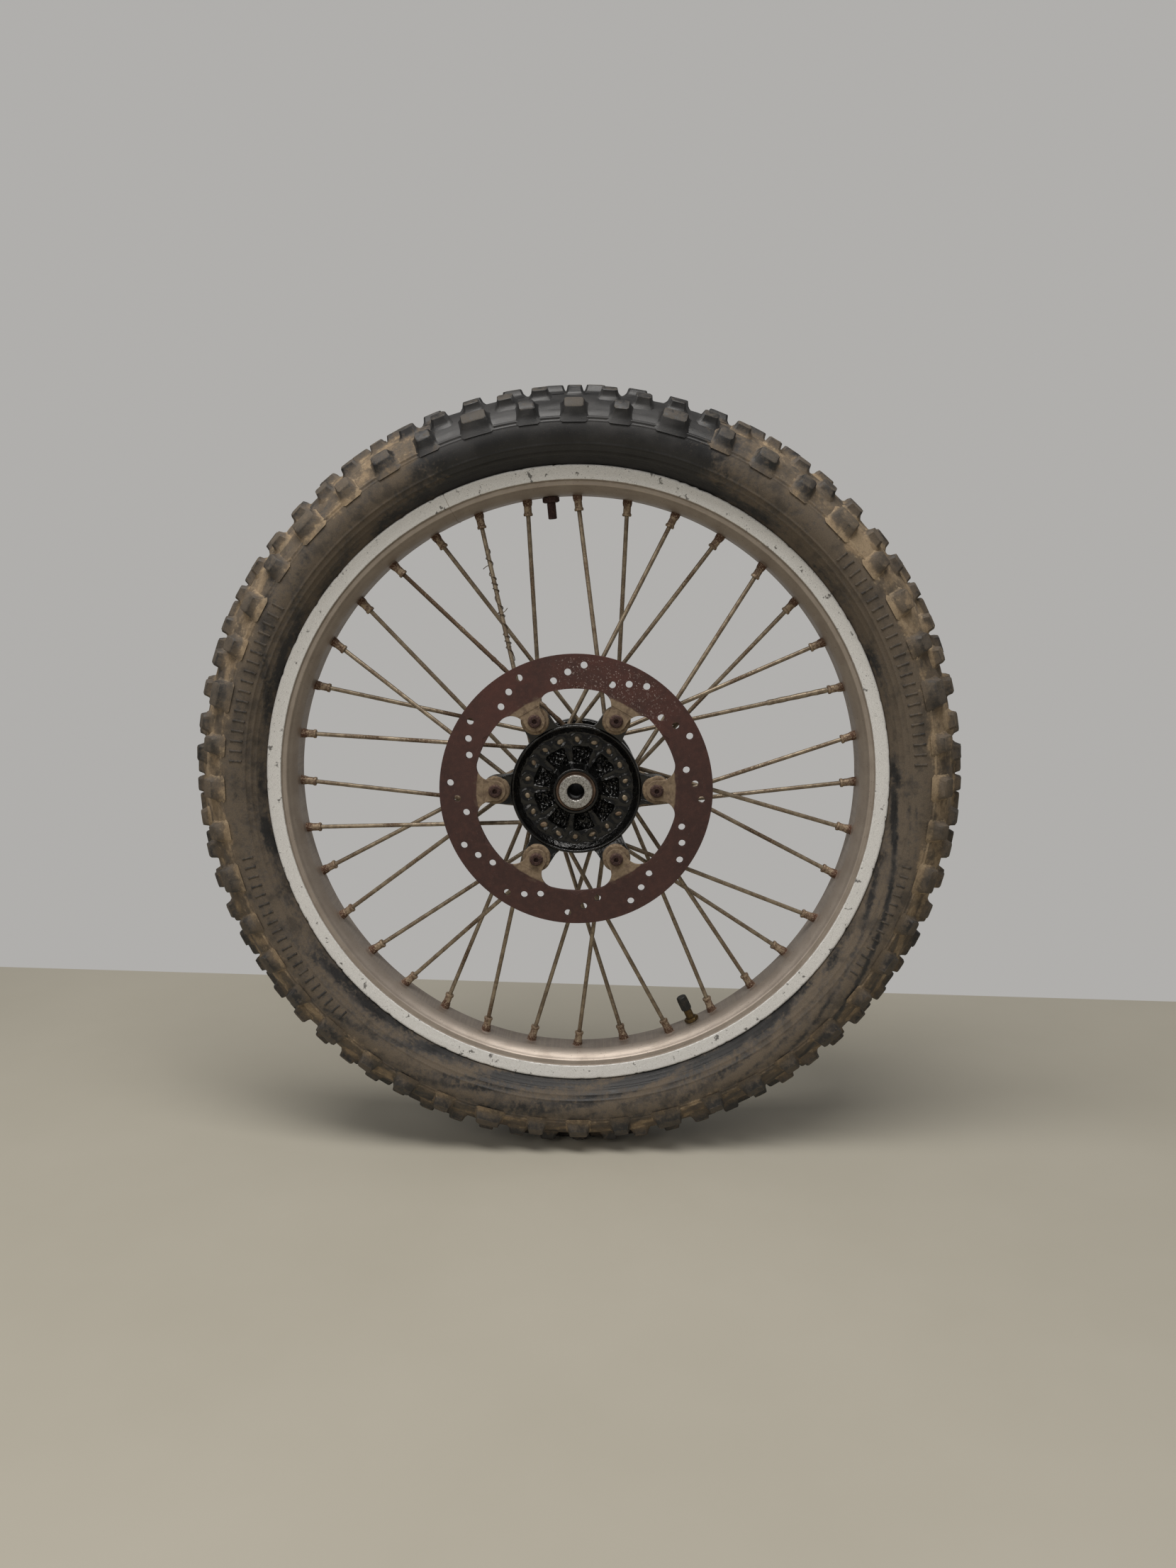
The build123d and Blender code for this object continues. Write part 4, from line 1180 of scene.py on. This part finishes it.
    def build(self) -> None:
        """Makes each set of spokes and of nipples, then the binding and the sleeve."""
        for lacing in self.lacings:
            bars = [shell for turn in range(self.count) for shell in self.spoke(lacing, turn)]
            node = f"spokes_{lacing.name}"
            piece(f"spoke_set_{lacing.name}", joined(bars), SPOKE_ZINC, WHEEL, (node,))
            ends = [self.nipple(lacing, turn) for turn in range(self.count)]
            node = f"nipples_{lacing.name}"
            piece(f"nipple_set_{lacing.name}", joined(ends), NIPPLE_RUST, WHEEL, (node,))
        bound, sleeved = self.lacings[0], self.lacings[2]
        wires = joined(self.binding(bound, 2))
        piece("spoke_binding", wires, TIE_WIRE, WHEEL, ("spokes_left_leading",))
        sleeve = self.sleeve(sleeved, 0)
        piece("spoke_sleeve", sleeve, SPOKE_ZINC, WHEEL, ("spokes_right_leading",))


# ---------------------------------------------------------------- brake disc


@dataclass
class Disc:
    """The brake disc and the six button-head screws that hold it."""

    face: float = 54.0
    lug_step: float = 0.3
    bolt_circle: float = 71.0
    count: int = 6
    edge: float = 0.35

    def screw(self, turn: int) -> Shell:
        """A screw: a domed head with a hexagonal socket, on its shank, pitted by rust."""
        corners = [(0, -12), (2.6, -12), (3.0, -11.6), (3.0, 0), (6.0, 0), (6.0, 0.5), (5.5, 2.0), (4.6, 3.2)]
        corners += [(2.6, 3.2), (2.3, 3.1)]
        outer = spaced(softened(corners, 0.5, 4, False), 0.9)
        socket = np.array([(2.5, 3.0), (2.5, 2.2), (2.5, 1.3), (2.2, 1.2), (1.2, 1.1), (0, 1.0)])
        profile = np.concatenate([outer, socket])
        flats = np.where(np.arange(len(profile)) >= len(outer), 4.0, 0.0)
        flats[-2:] = 0.0
        made = turned(profile, 48, flats)
        x, y, z = made.points.T
        top = step(z, 0.3, 1.0)
        pits = np.maximum(0, waves(60 + turn, x, y, 1.6)) * step(np.hypot(x, y), 2.6, 3.2)
        made.points = made.points - np.stack([0 * x, 0 * x, 0.16 * pits * top], axis=1)
        made.marks["wear"] = 0.25 + 0.5 * bump(np.hypot(x, y) - 5.6, 0.7)
        origin = about_axle(self.bolt_circle, 60 * turn, -(self.face - self.lug_step))
        across = about_axle(1.0, 60 * turn + 13 * turn**2, 0.0)
        return placed(made, origin, across, -AXLE)

    def build(self) -> None:
        """Rounds the disc's edges and makes the screws."""
        bevelled_node("disc_plate", "brake_disc", DISC_STEEL, WHEEL, self.edge)
        screws = joined([self.screw(turn) for turn in range(self.count)])
        piece("disc_screws", screws, BOLT_RUST, WHEEL, ("disc_bolts",))


# ---------------------------------------------------------------- hub


@dataclass
class Hub:
    """The cast hub: a turned body with relief between its spokes, ears for the disc, and their pads."""

    columns: int = 320
    web: float = 39.0
    pocket_inner: float = 23.5
    pocket_outer: float = 37.5
    pocket_half: float = 14.5
    pocket_phase: float = 1.0
    pocket_deep: float = 3.4
    hole_r: float = 44.0
    ear_circle: float = 71.0
    ear_r: float = 12.7
    root_r: float = 13.4
    root_circle: float = 53.0
    flange_r: float = 58.0
    pad_face: float = 50.5
    ear_face: float = 48.0

    def section(self) -> np.ndarray:
        """The closed section, as (radius, place along Y), with its corners rounded as cast."""
        left = [(17.5, -54), (19.3, -54), (20, -53.3), (20.6, -47), (22.6, -40.2), (24.2, -39), (42, -39)]
        left += [(49.8, -39), (51.2, -40.1), (54.3, -42.8), (55.2, -45.2), (56.6, -45.7), (58, -44)]
        left += [(58, -34.6), (56.6, -33)]
        barrel = [(43, -33), (39, -31), (30, -21), (26, -15), (26, 8), (30, 14), (39, 21.4), (43, 23)]
        right = [(53.6, 23), (55, 24.4), (55, 33.4), (53.6, 35), (51.2, 35), (50, 33.4), (49.6, 30.4)]
        right += [(47.4, 29), (24.4, 29), (22.6, 30.2), (20.6, 40), (20, 48), (19.5, 48.5), (17.5, 48.5)]
        bore = [(17.5, 30.1), (14, 30.1), (14, -35.6), (17.5, -35.6)]
        outline = softened(left + barrel + right + bore, 0.9, 4)
        front = np.flatnonzero((np.abs(outline[:, 1] + self.web) < 0.1) & (outline[:, 0] > 22))
        first, last = front[0], front[-1]
        parts = [(outline[: first + 1], 2.4), (outline[first : last + 1], 0.8), (outline[last:], 2.4)]
        return np.concatenate([spaced(line, gap)[:-1] for line, gap in parts])

    def relief(self, radius: np.ndarray, angle: np.ndarray) -> np.ndarray:
        """How deep the front is pressed in: nine pockets, with crossed ribs and lumps on their floors.

        A pocket is a product of smooth steps in radius and in distance from its middle line. The ribs
        are bumps about the lines along both diagonals.

        Args:
            radius: Each point's radius.
            angle: Each point's angle.

        Returns:
            The depth, in mm.
        """
        near = off(angle - self.pocket_phase, 0) % 40
        near = np.where(near > 20, near - 40, near)
        across = np.radians(near) * radius
        edge = np.radians(self.pocket_half) * radius
        inside = step(radius, self.pocket_inner - 0.8, self.pocket_inner + 1.0)
        inside = inside * step(-radius, -self.pocket_outer - 0.8, -self.pocket_outer + 1.0)
        inside = inside * step(-np.abs(across), -edge - 0.6, -edge + 1.0)
        up = radius - (self.pocket_inner + self.pocket_outer) / 2
        twist = 0.8 * waves(31, across + 40 * np.floor((angle + 19) / 40), up, 12)
        ribs = 0.0
        for slant in (1, -1):
            line = (across * slant + up + twist) / math.sqrt(2)
            ribs = np.maximum(ribs, bump((line + 2.3) % 4.6 - 2.3, 0.7))
        rim_rib = bump(np.abs(across) - edge, 1.3) * step(radius, 25, 27) * step(-radius, -39, -36)
        floor = self.pocket_deep - 2.0 * ribs - 0.6 * waves(33, np.radians(angle) * 30, radius, 5)
        return inside * floor - 1.3 * rim_rib

    def body(self) -> Shell:
        """Turns the section and presses in the relief, the spoke seats and the paint's waves."""
        section = self.section()
        angle = (np.arange(self.columns) * 360 / self.columns)[None, :]
        radius, along = swept(section, angle)
        front = (np.abs(along + self.web) < 0.6) & (radius > 22.5) & (radius < 50.5)
        hole = off(angle, 8.5) % 20
        hole = np.minimum(hole, 20 - hole)
        away = np.hypot(np.radians(hole) * self.hole_r, radius - self.hole_r)
        seat = 0.8 * bump(away - 5.0, 1.3) - 0.3 * bump(away, 2.0)
        lumps = 0.22 * waves(35, np.radians(angle) * 36, radius, 9)
        along = along + np.where(front, self.relief(radius, angle) - seat + lumps, 0)
        wall = (radius > 17.6) & (radius < 59)
        radius = radius + np.where(wall & ~front, 0.06 * waves(37, np.radians(angle) * 50, along, 12), 0)
        dust = np.where(front, 0.2 + 0.3 * bump(away, 4.5), 0.2) + 0.15 * step(-radius, -28, -20)
        dust = dust + 0.25 * step(np.abs(along), 20, 10) + 0.3 * (np.abs(along) < 30)
        return grid(about_axle(radius, angle, along), True, True, dust=dust)

    def reach(self, angle: np.ndarray) -> np.ndarray:
        """How far out the ears reach at an angle.

        An ear is the hull of a circle at the screw and a wider one at its root. A ray from the axle
        leaves it through the round end near its middle, and through its straight side farther off.
        The side runs into the flange in a hollow curve, the smooth greater of the two.

        Args:
            angle: The angles, in degrees.

        Returns:
            The radii, in mm.
        """
        turn = np.radians(np.abs(off(angle, 0) - 60 * np.round(off(angle, 0) / 60)))
        sine = (self.root_r - self.ear_r) / (self.ear_circle - self.root_circle)
        cosine = math.sqrt(1 - sine * sine)
        side = (self.ear_circle * sine + self.ear_r) / (sine * np.cos(turn) + cosine * np.sin(turn))
        inner = np.maximum(self.ear_r**2 - (self.ear_circle * np.sin(turn)) ** 2, 0)
        end = self.ear_circle * np.cos(turn) + np.sqrt(inner)
        tip = math.atan2(self.ear_r * cosine, self.ear_circle + self.ear_r * sine)
        ear = np.where(turn < tip, end, np.minimum(side, 90))
        blend = 9.0
        share = np.clip(0.5 + (ear - self.flange_r) / (2 * blend), 0, 1)
        return self.flange_r * (1 - share) + ear * share + blend * share * (1 - share) - 0.6

    def ears(self) -> Shell:
        """A ring whose outer edge follows the ears and whose section is a rounded oblong.

        The section's points are a centre plus half sizes times the 0.3 powers of cosine and sine.
        """
        tips = [60 * k + np.linspace(-13, 13, 79) for k in range(6)]
        angle = np.unique(np.concatenate([np.arange(0, 360, 1.0), *tips]) % 360)[:, None]
        turn = (np.arange(36) * 2 * math.pi / 36)[None, :]
        far = self.reach(angle)
        inner = 54.6
        power = 0.3
        cosine, sine = np.cos(turn), np.sin(turn)
        share = 0.5 + 0.5 * np.sign(cosine) * np.abs(cosine) ** power
        radius = inner + (far - inner) * share
        rise = step(radius, 57.5, 65.5)
        front = -(44.2 + (self.ear_face - 44.2) * rise)
        back = -(36.0 - 0.5 * rise) + 0 * radius
        lift = 0.5 + 0.5 * np.sign(sine) * np.abs(sine) ** power
        along = front + (back - front) * lift
        ripple = 0.1 * waves(39, np.radians(angle) * radius, along + radius, 9)
        return grid(about_axle(radius + ripple, angle, along + ripple), True, True, dust=0.3 + 0.25 * rise)

    def pad(self, turn: int) -> Shell:
        """A pad: a low round boss with a rounded rim, sunk into its ear, with a bore for the screw."""
        corners = [(3.05, 0), (11.6, 0), (12.0, 0.5), (12.0, 2.2), (12.6, 3.0), (12.6, 5.0), (3.05, 5.0)]
        made = turned(spaced(softened(corners, 0.35, 3), 1.6), 60)
        origin = about_axle(self.ear_circle, 60 * turn, -self.pad_face)
        return placed(made, origin, about_axle(1.0, 60 * turn, 0.0), AXLE)

    def build(self) -> None:
        """Makes the body, the ears and the pads."""
        piece("hub_body", self.body(), HUB_ENAMEL, WHEEL, ("hub",), 60)
        piece("hub_ears", self.ears(), HUB_ENAMEL, WHEEL, ("hub",), 60)
        pads = joined([self.pad(turn) for turn in range(6)])
        piece("hub_pads", pads, PAD_DUST, WHEEL, ("hub",))


# ---------------------------------------------------------------- bearings


@dataclass
class Bearings:
    """On each side a bearing, its rubber seal and the collar that the fork clamps."""

    # For each side: its sign, the boss's end, and the collar's inner and outer end.
    ends: tuple = ((Side.LEFT, 54.0, 46.6, 58.0), (Side.RIGHT, 48.5, 41.1, 53.0))

    def seal(self, side: Side, boss: float) -> Shell:
        """A seal's ring, with a raised outer band, a groove and two lips on the collar."""
        out = boss - 1.0
        corners = [(17.48, out - 0.3), (17.2, out), (16.0, out), (15.6, out - 0.7), (14.9, out - 0.8)]
        corners += [(12.8, out - 0.1), (10.6, out - 3.1), (10.6, out - 4.4), (12.8, out - 3.3)]
        corners += [(14.2, out - 1.9), (14.2, out - 6.0), (17.48, out - 6.0)]
        profile = softened(corners, 0.25, 3)
        return self.ring(profile, side, 120)

    def collar(self, side: Side, boss: float, inner: float, end: float) -> Shell:
        """A collar: a flange with a rounded rim, a chamfered bore, and the sleeve that fills the seal."""
        lip = boss - 1.0 + 0.4
        corners = [(7.5, inner), (10.5, inner), (10.5, lip), (14.4, lip), (14.75, lip + 0.4)]
        corners += [(14.75, end - 0.7), (14.2, end), (8.3, end), (7.5, end - 0.8)]
        profile = spaced(softened(corners, 0.3, 4), 0.8)
        shell = self.ring(profile, side, 180)
        x, y, z = shell.points.T
        radius = np.hypot(x, z)
        top = step(np.abs(y), end - 0.9, end - 0.2) * (radius > 8)
        dents = np.maximum(0, waves(51 + side.value, x, z, 2.2) - 0.9)
        shell.points = shell.points - np.stack([0 * x, side.value * 0.12 * dents * top, 0 * x], axis=1)
        shell.marks["rust"] = 0.2 + 0.65 * step(-np.abs(y), -(end - 0.6), -(end - 2.5)) + 0 * radius
        # Painted shade: points in the bore are marked to be coloured near black, as the shade deep inside the
        # hub.
        shell.marks["bore"] = 1.0 * (radius < 7.7)
        return shell

    @staticmethod
    def ring(profile: np.ndarray, side: Side, columns: int) -> Shell:
        """A profile of (radius, distance from the middle plane) carried about the axle on one side."""
        angle = (np.arange(columns) * 360 / columns)[None, :]
        radius, along = swept(profile, angle)
        return grid(about_axle(radius, angle, side.value * along), True, True)

    def build(self) -> None:
        """Makes the seals and collars, and dresses the rings, balls, cages and the distance tube."""
        for side, boss, inner, end in self.ends:
            name = side.name.lower()
            seal = self.seal(side, boss)
            piece(f"seal_ring_{name}", seal, SEAL_RUBBER, WHEEL, (f"seal_{name}",))
            collar, node = self.collar(side, boss, inner, end), f"collar_{name}"
            piece(f"axle_collar_{name}", collar, COLLAR_ZINC, "axle_fixed", (node,))
            for part in ("outer_race", "inner_race", "balls", "cage"):
                dress(f"bearing_{name}_{part}", BEARING_STEEL)
        dress("distance_tube", SHADE_DARK_TUBE_STEEL)


# ---------------------------------------------------------------- valve and rim lock


@dataclass
class RadialParts:
    """The valve and the rim lock, which stand through the rim towards the axle."""

    valve_angle: float = -65.0
    lock_angle: float = 95.0

    @staticmethod
    def stud(shell: Shell, angle: float, radius: float) -> Shell:
        """Stands a part on the wheel, its height running outwards from a radius."""
        return placed(shell, about_axle(radius, angle, 0.0), AXLE, about_axle(1.0, angle, 0.0))

    @staticmethod
    def threaded(radius: float, length: float, pitch: float, bore: float) -> Shell:
        """A threaded rod: its radius falls by 0.3 mm between rings one pitch apart.

        Args:
            radius: The thread's outer radius.
            length: The rod's length.
            pitch: The distance between rings.
            bore: The hole's radius, or 0.

        Returns:
            The rod, standing on its tip.
        """
        height = np.arange(0.6, length, pitch / 4)
        wave = 0.3 * np.abs(((height / pitch) % 1) - 0.5) * 2
        rod = np.stack([radius - wave, height], axis=1)
        inner = [(bore, length), (bore, 0.0)] if bore else [(0.0, length)]
        start = [] if bore else [(0.0, 0.0)]
        profile = np.array([*start, (radius - 0.9, 0.0), *map(tuple, rod), (radius, length), *inner])
        return turned(profile, 32)

    @staticmethod
    def nut(flats: float, height: float, bore: float) -> Shell:
        """A hexagonal nut whose corners are cut by a cone at both faces, and whose bore is chamfered."""
        full = flats / 2 / math.cos(math.pi / 6)
        rows = [(bore, 0.5), (bore + 0.5, 0.0), (flats / 2 - 0.3, 0.0), (full, 0.75), (full, height - 0.75)]
        rows += [(flats / 2 - 0.3, height), (bore + 0.5, height), (bore, height - 0.5)]
        profile = spaced(np.array(rows), 0.5)
        wide = profile[:, 0] > bore + 0.6
        return turned(profile, 60, np.where(wide, flats, 0.0))

    def cap(self) -> Shell:
        """The valve cap: a knurled sleeve, closed and rounded at the end by the axle."""
        corners = [(0, 0.0), (3.9, 0.0), (4.8, 0.9), (4.8, 2.6), (4.99, 3.0), (4.99, 12.6), (4.6, 14.0)]
        corners += [(4.06, 14.0), (4.06, 1.2), (0, 1.2)]
        profile = spaced(softened(corners, 0.4, 4, False), 1.2)
        made = turned(profile, 96)
        x, y, z = made.points.T
        turn = np.arctan2(y, x)
        groove = 0.16 * (1 + np.cos(24 * turn)) * step(z, 2.8, 3.4) * step(-z, -13.2, -12.4)
        keep = 1 - groove / np.maximum(np.hypot(x, y), 1) * (np.hypot(x, y) > 4.5)
        made.points = np.stack([x * keep, y * keep, z], axis=1)
        return made

    def build(self) -> None:
        """Makes the stems, nuts and cap, and dresses what lies inside."""
        stem = self.stud(self.threaded(3.99, 37.9, 1.0, 2.0), self.valve_angle, 233.0)
        foot = softened([(2.0, 0), (7.6, 0), (8.0, 0.4), (8.0, 1.1), (7.6, 1.5), (2.0, 1.5)], 0.3, 3)
        base = self.stud(turned(foot, 40), self.valve_angle, 270.95)
        piece("valve_tube", joined([stem, base]), VALVE_BRASS, WHEEL, ("valve_stem",))
        nut = self.stud(self.nut(12.0, 3.6, 4.05), self.valve_angle, 252.7)
        piece("valve_lock_nut", nut, VALVE_BRASS, WHEEL, ("valve_nut",))
        cap = self.stud(self.cap(), self.valve_angle, 230.0)
        piece("valve_dust_cap", cap, CAP_PLASTIC, "valve_cap_body", ("valve_cap",))
        dress("valve_core", VALVE_BRASS)
        dress("valve_pin", VALVE_BRASS)
        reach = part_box("rim_lock_stud")[1][2] / math.sin(math.radians(self.lock_angle)) / MM
        lock = self.stud(self.threaded(3.99, reach - 237.0, 1.25, 0.0), self.lock_angle, 237.0)
        piece("rim_lock_bolt", lock, BOLT_RUST, WHEEL, ("rim_lock_stud",))
        holder = self.stud(self.nut(13.0, 5.0, 4.05), self.lock_angle, 251.3)
        piece("rim_lock_hex", holder, BOLT_RUST, WHEEL, ("rim_lock_nut",))
        dress("rim_lock_shoe", TUBE_RUBBER)


# ---------------------------------------------------------------- studio


@dataclass
class Studio:
    """The floor, the pale sky, the soft lights and the camera."""

    floor: float = -0.35
    edge: float = 0.425
    turn: float = -4.5
    view: tuple = (0.170824, 0.019331, -0.000925)
    shift: tuple = (-9.667, -2.787, 1047.888)
    lens: float = 26.04

    def ground(self) -> None:
        """A plain floor that ends in a straight edge behind the wheel, where a pale sky takes over."""
        deep = np.array([-9.0, self.edge])
        across = np.array([-8.0, 8.0])
        turn = math.radians(self.turn)
        x = across[None, :] * math.cos(turn) - deep[:, None] * math.sin(turn)
        y = across[None, :] * math.sin(turn) + deep[:, None] * math.cos(turn)
        points = np.stack([x, y, self.floor + 0 * x], axis=-1)
        mesh = bpy.data.meshes.new("ground")
        mesh.from_pydata(points.reshape(-1, 3).tolist(), [], [(0, 1, 3, 2)])
        # Painted board: a warm grey, slightly cloudy and half matt.
        board = Finish("painted floor", "#b6b1a4", 0.55, coats=(Coat("#aea99b", 700, 0.5, soft=0.25),))
        mesh.materials.append(board.material())
        linked("ground", mesh)

    @staticmethod
    def lamp(name: str, place: tuple, aim: tuple, size: tuple, power: float, colour: str) -> None:
        """A soft rectangular light at a place, turned to a point."""
        data = bpy.data.lights.new(name, "AREA")
        data.shape = "RECTANGLE"
        data.size, data.size_y = size
        data.energy = power
        data.color = linear(colour)[:3]
        made = linked(name, data)
        made.location = place
        made.rotation_euler = (Vector(aim) - Vector(place)).to_track_quat("-Z", "Y").to_euler()

    def lights(self) -> None:
        """A broad ceiling light, a softer one from the front left, and an even pale sky.

        The sky lights the wheel at a share of the brightness that it is seen with.
        """
        self.lamp("ceiling", (-0.25, -0.75, 2.1), (0, 0.05, -0.2), (2.3, 0.8), 49, "#fffcf8")
        self.lamp("front left", (-1.3, -2.3, 1.4), (0, 0, 0), (1.1, 1.3), 12, "#fffaf4")
        world = bpy.data.worlds.new("even sky")
        bpy.context.scene.world = world
        world.use_nodes = True
        tree = world.node_tree
        tree.nodes.clear()
        seen = add(tree, "LightPath").outputs["Is Camera Ray"]
        strength = add(tree, "MapRange", {0: seen, 3: 0.28, 4: 0.55}).outputs[0]
        light = add(tree, "Background", {"Color": linear("#e6e4e1"), "Strength": strength})
        add(tree, "OutputWorld", {"Surface": light.outputs[0]})
        bpy.context.scene.view_settings.view_transform = "Standard"

    def camera(self) -> None:
        """The camera: three small turns and a shift from straight in front of the disc side."""
        data = bpy.data.cameras.new("camera")
        data.lens = self.lens
        data.sensor_width = 36.0
        pitch, yaw, roll = self.view
        swap = Matrix(((1, 0, 0), (0, 0, -1), (0, 1, 0)))
        turn = Matrix.Rotation(roll, 3, "Z") @ Matrix.Rotation(yaw, 3, "Y")
        turn = turn @ Matrix.Rotation(pitch, 3, "X") @ swap
        place = -(turn.transposed() @ Vector(self.shift)) * MM
        right, down, ahead = turn
        made = linked("camera", data)
        made.matrix_world = Matrix.Translation(place) @ Matrix((right, -down, -ahead)).transposed().to_4x4()
        bpy.context.scene.camera = made

    def build(self) -> None:
        """Makes the camera, the floor and the lights."""
        self.camera()
        self.ground()
        self.lights()


def corners(box: tuple) -> list:
    """A box's lowest and highest corners as plain lists of numbers."""
    return [[float(value) for value in corner] for corner in box]


def main() -> None:
    """Builds the scene's classes in order."""
    logging.basicConfig(level=logging.INFO, format="%(name)s: %(message)s")
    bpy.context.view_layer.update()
    for maker in (Studio(), Tyre(), Rim(), Spokes(), Disc(), Hub(), Bearings(), RadialParts()):
        log.info("building %s", type(maker).__name__)
        maker.build()


if __name__ == "__main__":
    main()
